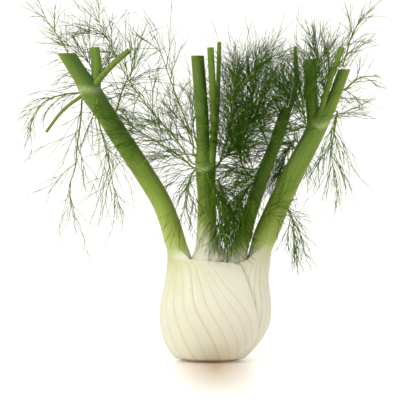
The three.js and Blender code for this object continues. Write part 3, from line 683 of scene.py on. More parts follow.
def sheath_sections(leaf, order, heights, groove_depth):
    """Closed sections of a sheath, with how deep in a groove each point lies and its turn round the leaf."""
    z = np.array(heights, float)[:, None]
    is_core = leaf["wall"] == 0
    is_outside = order < 2
    columns = 2 * leaf["ribs"] * leaf["fine"]
    inner_blend = smooth(CORE_FROM if is_core else INNER_BLEND[0], INNER_BLEND[1], z)
    outer_blend = smooth(*OUTER_BLEND, z) if is_outside else inner_blend
    flap_blend = smooth(RIM_LOW, INNER_BLEND[1], z) if is_outside else 1

    across = np.linspace(-1, 1, columns + 1)[None, :]
    if is_outside:
        across = across - CROWDING * np.sin(np.pi * across * leaf["ribs"]) / np.pi / leaf["ribs"]
    wave = np.abs(np.cos(np.pi / 2 * across * leaf["ribs"]))
    rib = np.round((across + 1) * leaf["ribs"] / 2)
    line = wave**30 * (0.5 + 0.6 * draw(rib, order, 3)) * (1 - smooth(0.92, 0.98, np.abs(across)))
    depth = groove_depth * mix(1, RIB_FADE[2], smooth(RIB_FADE[0], RIB_FADE[1], z)) if is_outside else 0
    relief = depth * (0.2 * wave**2 + 0.8 * line)
    azimuth = from_side(leaf, rib_angle(leaf, across, z))
    outer = bulb_point(azimuth, z, depth_at(order, azimuth, z) + relief)
    outer = mix(outer, oval_point(leaf, 90 * across, z), outer_blend[..., None])

    inside = np.linspace(1, -1, columns // 5 + 1)[None, :]
    if is_core:
        inside = inside[:, 1:-1]
    angle = 180 - 90 * inside if is_core else inside * margin(leaf, inside, z)
    azimuth = from_side(leaf, np.where(angle > 180, angle - 360, angle) if is_core else angle)
    wall = 0 if is_core else wall_at(leaf, angle, z)
    inner = bulb_point(azimuth, z, depth_at(order, azimuth, z) + wall)
    stay = smooth(*FLAP, np.abs(angle)) * (1 - flap_blend)
    inner = mix(inner, oval_point(leaf, 180 - 90 * inside, z), (inner_blend * (1 - stay))[..., None])

    groove = np.broadcast_to(line * is_outside, outer.shape[:2])
    turn = np.concatenate([90 * across[0], 180 - 90 * inside[0]])
    return np.concatenate([outer, inner], 1), np.pad(groove, ((0, 0), (0, inner.shape[1]))), turn


def stalk_middle(leaf, z):
    """The middle of a stalk at each height."""
    return np.stack([curve_at(leaf["stalk"], z, 1), curve_at(leaf["stalk"], z, 2), z], axis=-1)


def stalk_sections(leaf, heights, turn, rib_height):
    """Sections of the stalk, square to its middle line, but level at the neck and where it was cut."""
    z = np.array(heights, float)
    end = leaf["stalk"][-1][0]
    centre = stalk_middle(leaf, z)
    ahead = unit(stalk_middle(leaf, np.minimum(z + 1, end)) - stalk_middle(leaf, z - 1))
    front = np.array([0.0, -1.0, 0.0])
    square = unit(np.cross(ahead, front)) * leaf["side"]
    level = np.zeros_like(square)
    level[:, 0] = leaf["side"]
    cut = level / ahead[:, 2:]
    lean = smooth(NECK_TOP, NECK_TOP + STALK_STEP / 2, z)[:, None]
    near_end = smooth(end - STALK_STEP / 2, end, z)[:, None]
    outward = mix(mix(level, square, lean), cut, near_end)
    ribs = 1 + rib_height * lean * (np.abs(np.cos(np.radians(turn) * 11)) - 0.6)[None, :]
    half_width = curve_at(leaf["stalk"], z, 3)[:, None] * ribs
    half_depth = curve_at(leaf["stalk"], z, 4)[:, None] * ribs
    radians = np.radians(turn)
    return (
        centre[:, None]
        + outward[:, None] * (half_width * np.cos(radians))[..., None]
        + front * (half_depth * np.sin(radians))[..., None]
    )


def ring_faces(levels, columns):
    """Four-cornered faces between closed sections of a loft, facing out where the sections turn anticlockwise."""
    corner = np.arange(levels * columns).reshape(levels, columns)
    after = np.roll(corner, -1, axis=1)
    return np.stack([corner[:-1], after[:-1], after[1:], corner[1:]], axis=-1).reshape(-1, 4)


def mesh_of(name, points, quads, triangles, marks):
    """A smooth-shaded mesh from points in millimetres, its faces, and numbers carried by its points."""
    mesh = bpy.data.meshes.new(name)
    mesh.vertices.add(len(points))
    mesh.vertices.foreach_set("co", (points * MM).astype(np.float32).ravel())
    corners = np.concatenate([quads.ravel(), triangles.ravel()]).astype(np.int32)
    sizes = np.concatenate([np.full(len(quads), 4), np.full(len(triangles), 3)])
    mesh.loops.add(len(corners))
    mesh.loops.foreach_set("vertex_index", corners)
    mesh.polygons.add(len(sizes))
    mesh.polygons.foreach_set("loop_start", np.concatenate([[0], np.cumsum(sizes)[:-1]]).astype(np.int32))
    mesh.polygons.foreach_set("use_smooth", np.ones(len(sizes), bool))
    mesh.update(calc_edges=True)
    for mark, values in marks.items():
        if values.ndim == 2:
            mesh.attributes.new(mark, "FLOAT_VECTOR", "POINT").data.foreach_set("vector", values.astype(np.float32).ravel())
        else:
            mesh.attributes.new(mark, "FLOAT", "POINT").data.foreach_set("value", values.astype(np.float32))
    mesh.validate()
    return mesh


def place(name, mesh, material, node, slot):
    """Puts a piece in the scene in place of its solid."""
    piece = bpy.data.objects.new(name, mesh)
    bpy.context.scene.collection.objects.link(piece)
    mesh.materials.append(material)
    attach(piece, "root")
    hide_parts(node)
    return piece


def linear(hex_colour):
    """An sRGB hex colour as linear red, green, blue and alpha."""
    channels = [int(hex_colour[i : i + 2], 16) / 255 for i in (1, 3, 5)]
    return (*[c / 12.92 if c <= 0.04045 else ((c + 0.055) / 1.055) ** 2.4 for c in channels], 1.0)


def add_node(tree, kind, settings=None, values=None, links=None):
    """Adds a node with its settings, its sockets' values and the outputs that feed them."""
    node = tree.nodes.new(kind)
    for name, value in (settings or {}).items():
        setattr(node, name, value)
    for name, value in (values or {}).items():
        node.inputs[name].default_value = value
    for name, source in (links or {}).items():
        tree.links.new(source, node.inputs[name])
    return node


def new_material(name):
    """An empty material and its node tree, with the output ready."""
    material = bpy.data.materials.new(name)
    material.use_nodes = True
    material.node_tree.nodes.clear()
    return material, material.node_tree


def colour_ramp(tree, factor, stops):
    """A colour for each share of a factor: stops are position and sRGB hex."""
    node = add_node(tree, "ShaderNodeValToRGB", links={"Fac": factor})
    ramp = node.color_ramp
    while len(ramp.elements) < len(stops):
        ramp.elements.new(1)
    for element, (position, hex_colour) in zip(ramp.elements, stops):
        element.position = position
        element.color = linear(hex_colour)
    return node.outputs["Color"]


def blend_colours(tree, factor, first, second, mode="MIX"):
    """Two colours mixed by a factor. Each is an output or an sRGB hex."""
    node = add_node(tree, "ShaderNodeMix", {"data_type": "RGBA", "blend_type": mode})
    for socket, source in ((0, factor), (6, first), (7, second)):
        if isinstance(source, bpy.types.NodeSocket):
            tree.links.new(source, node.inputs[socket])
        else:
            node.inputs[socket].default_value = linear(source) if isinstance(source, str) else source
    return node.outputs[2]


def maths(tree, operation, first, second=0.5):
    """One sum of two numbers or outputs, kept from 0 to 1."""
    node = add_node(tree, "ShaderNodeMath", {"operation": operation, "use_clamp": True})
    for socket, source in enumerate((first, second)):
        if isinstance(source, bpy.types.NodeSocket):
            tree.links.new(source, node.inputs[socket])
        else:
            node.inputs[socket].default_value = source
    return node.outputs[0]


def carried(tree, name, output="Fac"):
    """A number or vector that the mesh's points carry."""
    return add_node(tree, "ShaderNodeAttribute", {"attribute_name": name}).outputs[output]


def fresh_flesh(colours):
    """Fennel flesh under a thin waxy skin, grown: fine veins run along it, white turns to green up the
    stalk, and the skin gives a soft broad gloss. Cut ends show pale wet pith."""
    material, tree = new_material("fennel_flesh")
    place_of = add_node(tree, "ShaderNodeTexCoord").outputs["Object"]
    grain = carried(tree, "grain", "Vector")
    green = carried(tree, "green")
    groove = carried(tree, "groove")
    pith = carried(tree, "pith")

    # Veins: one every 1.5 mm or so round a stalk, kept as streaks as long as a finger
    streaks = add_node(
        tree, "ShaderNodeTexNoise", values={"Scale": 9.0, "Detail": 3.0, "Roughness": 0.6}, links={"Vector": grain}
    ).outputs["Fac"]
    # Clouding a finger's width across
    clouds = add_node(
        tree, "ShaderNodeTexNoise", values={"Scale": 55.0, "Detail": 2.0}, links={"Vector": place_of}
    ).outputs["Fac"]
    ripeness = maths(tree, "ADD", green, maths(tree, "MULTIPLY", maths(tree, "SUBTRACT", clouds, 0.4), 0.12))
    skin = colour_ramp(
        tree,
        ripeness,
        [
            (0.0, colours["flesh"]),
            (0.2, colours["neck"]),
            (0.45, colours["young"]),
            (0.72, colours["stalk"]),
            (1.0, colours["deep"]),
        ],
    )
    streaked = colour_ramp(tree, streaks, [(0.3, "#c9cdb8"), (0.62, "#ffffff")])
    strength = maths(tree, "ADD", maths(tree, "MULTIPLY", green, 0.75), 0.1)
    skin = blend_colours(tree, strength, skin, blend_colours(tree, 1.0, skin, streaked, "MULTIPLY"))
    skin = blend_colours(tree, maths(tree, "MULTIPLY", groove, 0.62), skin, colours["groove"])
    cut = blend_colours(tree, clouds, colours["pith"], colours["neck"])
    skin = blend_colours(tree, pith, skin, cut)

    # Ridges along the veins, and the skin's faint grain
    fine = add_node(
        tree, "ShaderNodeTexNoise", values={"Scale": 900.0, "Detail": 2.0}, links={"Vector": place_of}
    ).outputs["Fac"]
    ridges = add_node(
        tree,
        "ShaderNodeBump",
        values={"Strength": 0.35, "Distance": 0.0004},
        links={"Height": streaks},
    ).outputs["Normal"]
    bumps = add_node(
        tree, "ShaderNodeBump", values={"Strength": 0.12, "Distance": 0.0002}, links={"Height": fine, "Normal": ridges}
    ).outputs["Normal"]
    gloss = maths(tree, "ADD", maths(tree, "MULTIPLY", clouds, 0.16), 0.34)
    shader = add_node(
        tree,
        "ShaderNodeBsdfPrincipled",
        values={
            "IOR": 1.42,
            "Specular IOR Level": 0.3,
            "Subsurface Weight": 0.12,
            "Subsurface Radius": (0.004, 0.0035, 0.0015),
            "Subsurface Scale": 1.0,
        },
        links={"Base Color": skin, "Roughness": gloss, "Normal": bumps},
    )
    add_node(tree, "ShaderNodeOutputMaterial", links={"Surface": shader.outputs["BSDF"]})
    return material


def frond_thread(colours):
    """Fresh fennel fronds, grown as hair-fine leaflets: soft satin greens that differ from thread to thread."""
    material, tree = new_material("fennel_frond")
    tint = carried(tree, "tint")
    cool = carried(tree, "cool")
    warm_green = colour_ramp(tree, tint, [(0.0, colours["frond_dark"]), (0.55, colours["frond"]), (1.0, colours["frond_light"])])
    green = blend_colours(tree, maths(tree, "MULTIPLY", cool, 0.7), warm_green, colours["frond_cool"])
    shader = add_node(
        tree,
        "ShaderNodeBsdfPrincipled",
        values={"Roughness": 0.55, "IOR": 1.42, "Specular IOR Level": 0.12},
        links={"Base Color": green},
    )
    lit_through = add_node(tree, "ShaderNodeBsdfTranslucent", links={"Color": blend_colours(tree, 0.5, green, colours["frond_light"])})
    leaflet = add_node(tree, "ShaderNodeMixShader", values={"Fac": 0.42})
    tree.links.new(shader.outputs["BSDF"], leaflet.inputs[1])
    tree.links.new(lit_through.outputs["BSDF"], leaflet.inputs[2])
    add_node(tree, "ShaderNodeOutputMaterial", links={"Surface": leaflet.outputs["Shader"]})
    return material


def cut_root(colours):
    """Root trimmed with a knife and dried a little: brown rings of fibre round a paler middle, quite matte."""
    material, tree = new_material("cut_root")
    place_of = add_node(tree, "ShaderNodeTexCoord").outputs["Object"]
    # Growth rings about 2.5 mm apart, wavering
    rings = add_node(
        tree,
        "ShaderNodeTexWave",
        {"wave_type": "RINGS", "rings_direction": "Z", "wave_profile": "SIN"},
        values={"Scale": 62.0, "Distortion": 3.0, "Detail": 2.0, "Detail Scale": 2.0},
        links={"Vector": place_of},
    ).outputs["Fac"]
    fibres = add_node(
        tree, "ShaderNodeTexNoise", values={"Scale": 420.0, "Detail": 4.0}, links={"Vector": place_of}
    ).outputs["Fac"]
    tone = maths(tree, "ADD", maths(tree, "MULTIPLY", rings, 0.35), maths(tree, "MULTIPLY", fibres, 0.6))
    colour = colour_ramp(tree, tone, [(0.15, colours["root_dark"]), (0.6, colours["root"]), (0.95, colours["root_pale"])])
    bumps = add_node(
        tree, "ShaderNodeBump", values={"Strength": 0.5, "Distance": 0.0006}, links={"Height": tone}
    ).outputs["Normal"]
    shader = add_node(
        tree,
        "ShaderNodeBsdfPrincipled",
        values={"Roughness": 0.75, "IOR": 1.42},
        links={"Base Color": colour, "Normal": bumps},
    )
    add_node(tree, "ShaderNodeOutputMaterial", links={"Surface": shader.outputs["BSDF"]})
    return material


def painted_sweep(hex_colour, painted_shade_colour):
    """Satin white studio board: seen along its surface it carries a blurred image of what stands on it. A warm shade
    and reflection at the bulb's foot is painted into its colour, and its glow is weaker there.
    """
    material, tree = new_material("studio_sweep")
    place_of = add_node(tree, "ShaderNodeTexCoord").outputs["Object"]
    # Painted shade: a warm shade and reflection of the bulb painted on the board at its foot, 80 mm wide and 500 mm
    # deep, and mostly before it
    painted_shade_place = add_node(
        tree,
        "ShaderNodeMapping",
        values={"Location": (-0.1, 0.2, 0.0), "Scale": (24.0, 4.0, 0.0)},
        links={"Vector": place_of},
    ).outputs["Vector"]
    shade = add_node(
        tree, "ShaderNodeTexGradient", {"gradient_type": "SPHERICAL"}, links={"Vector": painted_shade_place}
    ).outputs["Fac"]
    # Painted shade: the board's colour turns to the shade colour at the foot
    colour = blend_colours(tree, maths(tree, "MULTIPLY", shade, 0.85), hex_colour, painted_shade_colour)
    # Painted shade: the board's glow is also weaker in the painted shade at the foot
    glow = maths(tree, "SUBTRACT", 0.2, maths(tree, "MULTIPLY", shade, 0.13))
    shader = add_node(
        tree,
        "ShaderNodeBsdfPrincipled",
        values={"Roughness": 0.34, "IOR": 1.45, "Emission Color": (1, 1, 1, 1)},
        links={"Base Color": colour, "Emission Strength": glow},
    )
    add_node(tree, "ShaderNodeOutputMaterial", links={"Surface": shader.outputs["BSDF"]})
    return material


def closed_tube(points, radii, sides, ribs):
    """A round branch with a cut end: its sections, from the foot up and then in across the cut."""
    points = np.array(points, float)
    ahead = unit(np.gradient(points, axis=0))
    helper = np.array([0.0, -1.0, 0.0])
    across = unit(np.cross(helper, ahead))
    beside = np.cross(ahead, across)
    turn = np.linspace(0, 2 * np.pi, sides, endpoint=False)
    waver = 1 + 0.035 * np.cos(turn * ribs)
    circle = across[:, None] * np.cos(turn)[:, None] + beside[:, None] * np.sin(turn)[:, None]
    return points[:, None] + circle * (np.array(radii)[:, None, None] * waver[:, None]), np.degrees(turn), ahead[-1]


def with_cut(sections, ahead, sink):
    """Sections that go on across a cut end: a worn edge, then the pith, a little sunk, to its middle."""
    edge = sections[-1]
    middle = edge.mean(0)
    shares = np.array([0.985, 0.95, 0.86, 0.6, 0.3, 0.02])
    drops = sink * np.array([-0.25, -0.3, 0.35, 0.9, 1.0, 1.0])
    caps = middle + shares[:, None, None] * (edge - middle) - drops[:, None, None] * ahead
    return np.concatenate([sections, caps]), len(shares)


def loft_faces(levels, columns, is_turned):
    """Faces of a loft, and of the small last ring that closes it."""
    quads = ring_faces(levels, columns)
    last = (levels - 1) * columns + np.arange(columns)
    tip = np.stack([np.full(columns - 2, last[0]), last[1:-1], last[2:]], axis=-1)
    return (quads[:, ::-1], tip[:, ::-1]) if is_turned else (quads, tip)


def base_faces(outer, inner, is_core, is_turned):
    """The underside of a sheath: triangles between its outer and inner edge."""
    if is_core:
        ring = np.arange(outer + inner)
        faces = np.stack([np.full(len(ring) - 2, 0), ring[2:], ring[1:-1]], axis=-1)
    else:
        per = (outer - 1) // (inner - 1)
        j = np.arange(outer - 1)
        k = outer + (outer - 2 - j) // per
        outside = np.stack([j + 1, j, k], axis=-1)
        i = np.arange(inner - 1)
        inside = np.stack([outer + i + 1, outer + i, outer - 1 - per * (i + 1)], axis=-1)
        faces = np.concatenate([outside, inside])
    return faces[:, ::-1] if is_turned else faces


def grow_leaf(leaf, order, sizes, material):
    """One leaf from its sheath to its cut ends, as one piece."""
    sheath_heights = np.concatenate(
        [
            np.linspace(SHEATH_BASE, RIM_LOW, 46),
            np.linspace(RIM_LOW, RIM_HIGH, 9)[1:],
            np.linspace(RIM_HIGH, NECK_TOP, 9)[1:],
        ]
    )
    end = leaf["stalk"][-1][0]
    sheath, groove, turn = sheath_sections(leaf, order, sheath_heights, sizes.groove_depth / MM)
    stalk_heights = np.linspace(NECK_TOP, end, round((end - NECK_TOP) / 2.6))[1:]
    stalk = stalk_sections(leaf, stalk_heights, turn, sizes.rib_height)
    sections, cut_rings = with_cut(np.concatenate([sheath, stalk]), np.array([0.0, 0.0, 1.0]), sizes.pith_sink / MM)
    levels, columns = sections.shape[:2]
    quads, tip = loft_faces(levels, columns, leaf["side"] > 0)
    inner = columns - (2 * leaf["ribs"] * leaf["fine"] + 1)
    base = base_faces(columns - inner, inner, leaf["wall"] == 0, leaf["side"] > 0)

    heights = np.concatenate([sheath_heights, stalk_heights, np.full(cut_rings, end)])
    pale = np.outer(1 - smooth(RIM_LOW, NECK_TOP, heights), smooth(25, 85, np.minimum(np.abs(turn), 90)))
    radians = np.radians(turn)
    # Painted light: paler green on each stalk's outer side, a painted lit side, from the neck up
    painted_lit_side = np.outer(smooth(RIM_LOW, NECK_TOP + STALK_STEP, heights), np.cos(radians))
    green = curve_at(leaf["greening"], heights, 1)[:, None] * (1 - 0.8 * pale * (order < 2) - PAINTED_LIT_SIDE_PALE * painted_lit_side)
    waver = leaf["joint"] + JOINT["waver"] * np.sin(2 * radians + order)
    ring = np.exp(-(((heights[:, None] - waver) / JOINT["half"]) ** 2)) * (0.6 + 0.4 * np.sin(radians + 1))
    grain = np.stack(np.broadcast_arrays(np.cos(radians), np.sin(radians), heights[:, None] / 260 + order), axis=-1)
    pith = np.concatenate([np.zeros(levels - cut_rings), [0.0, 0.5, 1, 1, 1, 1]])
    marks = {
        "green": [green.ravel()],
        "groove": [np.pad(groove, ((0, levels - len(groove)), (0, 0))).ravel()],
        "pith": [np.maximum(pith[:, None], JOINT["pale"] * ring).ravel()],
        "grain": [grain.reshape(-1, 3)],
    }
    all_points = [sections.reshape(-1, 3)]
    all_quads = [quads]
    all_triangles = [tip, base]
    offset = levels * columns
    for number, twig in enumerate(leaf["twigs"]):
        line, length = spaced(twig["points"], step=3)
        share = np.linspace(0, 1, len(line))
        swell = 1 + 0.35 * np.exp(-share * length / 5)
        branch, turn_round, ahead = closed_tube(line, mix(*twig["radii"], share) * swell, 24, 9)
        branch, cut_rings = with_cut(branch, ahead, 0.4 * sizes.pith_sink / MM)
        levels, sides = branch.shape[:2]
        quads, tip = loft_faces(levels, sides, False)
        all_points.append(branch.reshape(-1, 3))
        all_quads.append(quads + offset)
        all_triangles.append(tip + offset)
        offset += levels * sides
        along = np.concatenate([share * length, np.full(cut_rings, length)]) / 260 + number
        radians = np.radians(turn_round)
        grain = np.stack(np.broadcast_arrays(0.4 * np.cos(radians), 0.4 * np.sin(radians), along[:, None]), axis=-1)
        marks["green"].append(np.full(levels * sides, 0.8))
        marks["groove"].append(np.zeros(levels * sides))
        marks["pith"].append(np.repeat(np.concatenate([np.zeros(levels - cut_rings), [0, 0.5, 1, 1, 1, 1]]), sides))
        marks["grain"].append(grain.reshape(-1, 3))
    mesh = mesh_of(
        leaf["name"] + "_flesh",
        np.concatenate(all_points),
        np.concatenate(all_quads),
        np.concatenate(all_triangles),
        {mark: np.concatenate(parts) for mark, parts in marks.items()},
    )
    return place(leaf["name"] + "_flesh", mesh, material, leaf["name"], "leaf")


class Limbs:
    """Straight round pieces already in place, which later threads keep clear of."""

    def __init__(self, room=4000):
        self.starts = np.zeros((room, 3))
        self.ends = np.zeros((room, 3))
        self.half_widths = np.zeros(room)
        self.half_depths = np.zeros(room)
        self.stems = np.full(room, -1)
        self.count = 0
        for leaf in LEAVES:
            self.add_stalk(leaf)
        self.stalks = self.count

    def add(self, start, end, half_width, half_depth, stem=-1):
        """Puts one piece in place."""
        self.starts[self.count] = start
        self.ends[self.count] = end
        self.half_widths[self.count] = half_width
        self.half_depths[self.count] = half_depth
        self.stems[self.count] = stem
        self.count += 1

    def add_line(self, points, radius, stem):
        """Puts the pieces of a stem in place."""
        for start, end in zip(points[:-1], points[1:]):
            self.add(start, end, radius, radius, stem)

    def add_stalk(self, leaf):
        """Puts a leaf's stalk and its cut branches in place."""
        end = leaf["stalk"][-1][0]
        for z in np.arange(INNER_BLEND[1], end, LIMB_STEP):
            low, high = stalk_middle(leaf, np.array([z, min(z + LIMB_STEP, end)], float))
            self.add(low, high, curve_at(leaf["stalk"], z, 3), curve_at(leaf["stalk"], z, 4))
        for twig in leaf["twigs"]:
            line, _ = spaced(twig["points"], TWIG_STEPS)
            for i in range(TWIG_STEPS):
                radius = mix(*twig["radii"], i / TWIG_STEPS)
                self.add(line[i], line[i + 1], radius, radius)

    def nearest(self, start, end):
        """The shortest lines from a straight piece to every piece in place, as their two ends."""
        starts = self.starts[: self.count]
        v = self.ends[: self.count] - starts
        u = end - start
        w = start - starts
        uu, uv, vv = u @ u, v @ u, (v * v).sum(1)
        uw, vw = w @ u, (v * w).sum(1)
        cross = uu * vv - uv * uv
        s = np.where(cross > 1e-9, np.clip((uv * vw - vv * uw) / np.maximum(cross, 1e-9), 0, 1), 0)
        t = np.clip((uv * s + vw) / vv, 0, 1)
        s = np.clip((uv * t - uw) / uu, 0, 1) if uu > 1e-9 else 0 * t
        return start + s[:, None] * u, starts + t[:, None] * v

    def is_clear(self, start, end, radius, stem):
        """True where a straight piece is clear of the bulb, the floor and every piece but its own stem's."""
        if not stands_clear(start + (end - start) * np.array([[0.25], [0.5], [0.75], [1.0]])).all():
            return False
        near, far = self.nearest(start, end)
        reach = np.maximum(self.half_widths, self.half_depths)[: self.count] + radius + THREAD_CLEAR
        apart = np.linalg.norm(near - far, axis=1)
        return bool(((apart > reach) | (self.stems[: self.count] == stem)).all())

    def seat(self, point):
        """The surface of the stalk nearest to a point, and the way straight out of it from its middle."""
        near, far = self.nearest(point, point)
        i = np.argmin((np.linalg.norm(near - far, axis=1) - self.half_widths[: self.count])[: self.stalks])
        outward = unit(point - far[i])
        share = outward[1] ** 2
        radius = 1 / np.sqrt((1 - share) / self.half_widths[i] ** 2 + share / self.half_depths[i] ** 2)
        return far[i], outward, radius

    def off_stalks(self, strands):
        """Which strands pass clear of every stalk and of the bulb."""
        starts = self.starts[: self.stalks]
        v = self.ends[: self.stalks] - starts
        radius = np.maximum(self.half_widths, self.half_depths)[: self.stalks]
        points = strands[:, 1:].reshape(-1, 1, 3)
        t = np.clip(((points - starts) * v).sum(-1) / (v * v).sum(-1), 0, 1)
        apart = np.linalg.norm(points - starts - t[..., None] * v, axis=-1)
        is_off = (apart > radius + 0.3).all(-1) & stands_clear(points[:, 0]) & in_reach(points[:, 0])
        return is_off.reshape(strands.shape[0], -1).all(-1)


def stands_clear(points):
    """Which points are clear of the bulb and the floor."""
    x, y, z = points[:, 0], points[:, 1], points[:, 2]
    across = (x - curve_at(BULB, z, 2)) / (curve_at(BULB, z, 1) + BULB_CLEAR)
    deep = y / (curve_at(BULB, z, 3) + BULB_CLEAR)
    return (z >= FLOOR_CLEAR) & ((z >= NECK_TOP) | (across**2 + deep**2 >= 1))


def in_reach(points):
    """Which points stay about within the solids' box."""
    low, high = (np.array(corner) / MM for corner in cad_box)
    return ((points > low - THREAD_REACH) & (points < high + THREAD_REACH)).all(-1)


def lean_from(ahead, turn, lean):
    """Directions that lean away from a stem's own, turned round it by an angle."""
    upright = np.abs(ahead[..., 2:]) > 0.8
    helper = np.where(upright, [1.0, 0.0, 0.0], [0.0, 0.0, 1.0])
    across = unit(np.cross(ahead, helper))
    turn = np.radians(turn)[..., None]
    lean = np.radians(lean)[..., None]
    turned = across * np.cos(turn) + np.cross(ahead, across) * np.sin(turn)
    return ahead * np.cos(lean) + turned * np.sin(lean)


def along_line(points, share):
    """Where a line of points is at a share of its length, and which way it heads there."""
    at = min(share * (len(points) - 1), len(points) - 1.001)
    i = int(at)
    step = points[i + 1] - points[i]
    return points[i] + step * (at - i), unit(step)


def sprout(limbs, start, ahead, turn, lean, length, steps, droop, radius, stem):
    """A stem that finds a clear way from a point: turned round its parent until nothing is hit."""
    for attempt in range(TRIES):
        heading = lean_from(ahead, np.float64(turn + attempt * TRY_TURN), np.float64(lean))
        points = [start]
        for _ in range(steps):
            points.append(points[-1] + heading * length / steps)
            heading = unit(heading - np.array([0, 0, droop]))
        if all(limbs.is_clear(a, b, radius, stem) for a, b in zip(points[:-1], points[1:])):
            return np.array(points)
    return None


def grow_stem(limbs, frond, number):
    """A frond's main stem: the solid's line, and the finer one rooted in the stalk."""
    middle, outward, radius = limbs.seat(np.array(frond["points"][0], float))
    foot, heel, root = (middle + outward * (radius + out) for out in (FOOT_GAP, FOOT_GAP + STEM["heel"], -1.0))
    line = [heel, *frond["points"][1:]]
    coarse, _ = spaced(line, step=STEM["step"])
    fine, _ = spaced(line, step=4)
    limbs.add_line(np.vstack([foot, coarse]), STEM["root"], number * 10000)
    return np.vstack([foot, coarse]), np.vstack([root, fine])


def grow_side_stems(limbs, frond, number, stem, count, first_key, offset):
    """Side stems, the longest of them low down. offset shifts them along the main stem."""
    grown = []
    for i in range(count):
        share = min(mix(SIDE_STEM["lowest"], 1, (i + offset) / count), 0.985)
        start, ahead = along_line(stem, share)
        points = sprout(
            limbs,
            start,
            ahead,
            turn=i * GOLDEN_TURN + SIDE_STEM["scatter"] * draw(number, i + first_key, 1),
            lean=SIDE_STEM["lean"] - SIDE_STEM["lean_loss"] * share,
            length=frond["reach"] * (1.15 - SIDE_STEM["shorten"] * share) * mix(0.8, 1.2, draw(number, i + first_key, 2)),
            steps=SIDE_STEM["steps"],
            droop=frond["droop"],
            radius=SIDE_STEM["root"],
            stem=number * 10000,
        )
        if points is not None:
            key = i + first_key
            limbs.add_line(points, SIDE_STEM["root"], number * 10000 + 1 + key)
            grown.append((key, points))
    return grown


def grow_needles(limbs, frond, number, side_stems):
    """The solid's needles, which the finer frond carries as its first branchlets."""
    grown = []
    for key, points in side_stems:
        for i in range(frond["threads"]):
            share = NEEDLE["lowest"] + NEEDLE["span"] * (i + 0.5 * draw(number, key, i, 3)) / frond["threads"]
            start, ahead = along_line(points, share)
            needle = sprout(
                limbs,
                start,
                ahead,
                turn=i * GOLDEN_TURN + NEEDLE["scatter"] * draw(number, key, i, 4),
                lean=NEEDLE["lean"],
                length=frond["length"] * mix(0.75, 1.15, draw(number, key, i, 5)),
                steps=1,
                droop=0,
                radius=NEEDLE["root"],
                stem=number * 10000 + 1 + key,
            )
            if needle is not None:
                limbs.add_line(needle, NEEDLE["root"], number * 10000 + 5000 + 10 * key + i)
                grown.append(needle)
    return grown


def grow_strands(chance, parents, per_parent, spec, frond, low, high=1.0):
    """Bent strands that branch from parent strands all round: (strands, steps + 1, 3) points."""
    count, stops, _ = parents.shape
    total = count * per_parent
    order = np.tile(np.arange(per_parent), count)
    share = low + (high - low) * (order + chance.uniform(0.1, 0.9, total)) / per_parent
    at = np.minimum(share * (stops - 1), stops - 1.001)
    i = at.astype(int)
    parent = np.repeat(np.arange(count), per_parent)
    step = parents[parent, i + 1] - parents[parent, i]
    start = parents[parent, i] + step * (at - i)[:, None]
    turn = order * GOLDEN_TURN + np.repeat(chance.uniform(0, 360, count), per_parent) + chance.uniform(-35, 35, total)
    lean = spec["lean"] * (1.2 - 0.5 * share) * chance.uniform(0.7, 1.3, total)
    heading = lean_from(unit(step), turn, lean)
    bend = np.cross(heading, unit(chance.normal(size=(total, 3)))) * spec["curl"]
    swing = chance.uniform(-0.5, 1.2, total)
    reach = (spec["length"] * frond["length"] * (1.15 - 0.4 * share) * chance.uniform(0.6, 1.35, total))[:, None]
    points = [start]
    for k in range(spec["steps"]):
        points.append(points[-1] + heading * reach / spec["steps"])
        turning = bend * np.cos(swing + 1.6 * np.pi * k / spec["steps"])[:, None]
        heading = unit(heading + (turning - np.array([0, 0, 0.8 * frond["droop"]])) / spec["steps"])
    return np.stack(points, axis=1)


def tubes(strands, root, tip, sides):
    """Pointed tubes along strands: points, four-cornered faces and triangles."""
    total, stops, _ = strands.shape
    ahead = unit(np.gradient(strands, axis=1))
    main = np.abs(strands[:, -1] - strands[:, 0])
    helper = np.eye(3)[np.argmin(main, axis=1)][:, None]
    across = unit(np.cross(helper, ahead))
    beside = np.cross(ahead, across)
    turn = np.linspace(0, 2 * np.pi, sides, endpoint=False)[:, None]
    circle = across[:, :-1, None] * np.cos(turn) + beside[:, :-1, None] * np.sin(turn)
    radius = np.linspace(root, tip, stops)[None, :-1, None, None]
    rings = (strands[:, :-1, None] + circle * radius).reshape(total, -1, 3)
    points = np.concatenate([rings, strands[:, -1:]], axis=1)
    quads = ring_faces(stops - 1, sides)
    last = (stops - 2) * sides + np.arange(sides)
    tip_faces = np.stack([last, np.roll(last, -1), np.full(sides, (stops - 1) * sides)], axis=-1)
    offset = np.arange(total)[:, None, None] * points.shape[1]
    return points.reshape(-1, 3), (quads + offset).reshape(-1, 4), (tip_faces + offset).reshape(-1, 3)


def resample(line, stops):
    """A line with another number of evenly spaced points."""
    lengths = np.concatenate([[0], np.cumsum(np.linalg.norm(np.diff(line, axis=0), axis=1))])
    at = np.linspace(0, lengths[-1], stops)
    return np.stack([np.interp(at, lengths, line[:, k]) for k in range(3)], axis=-1)


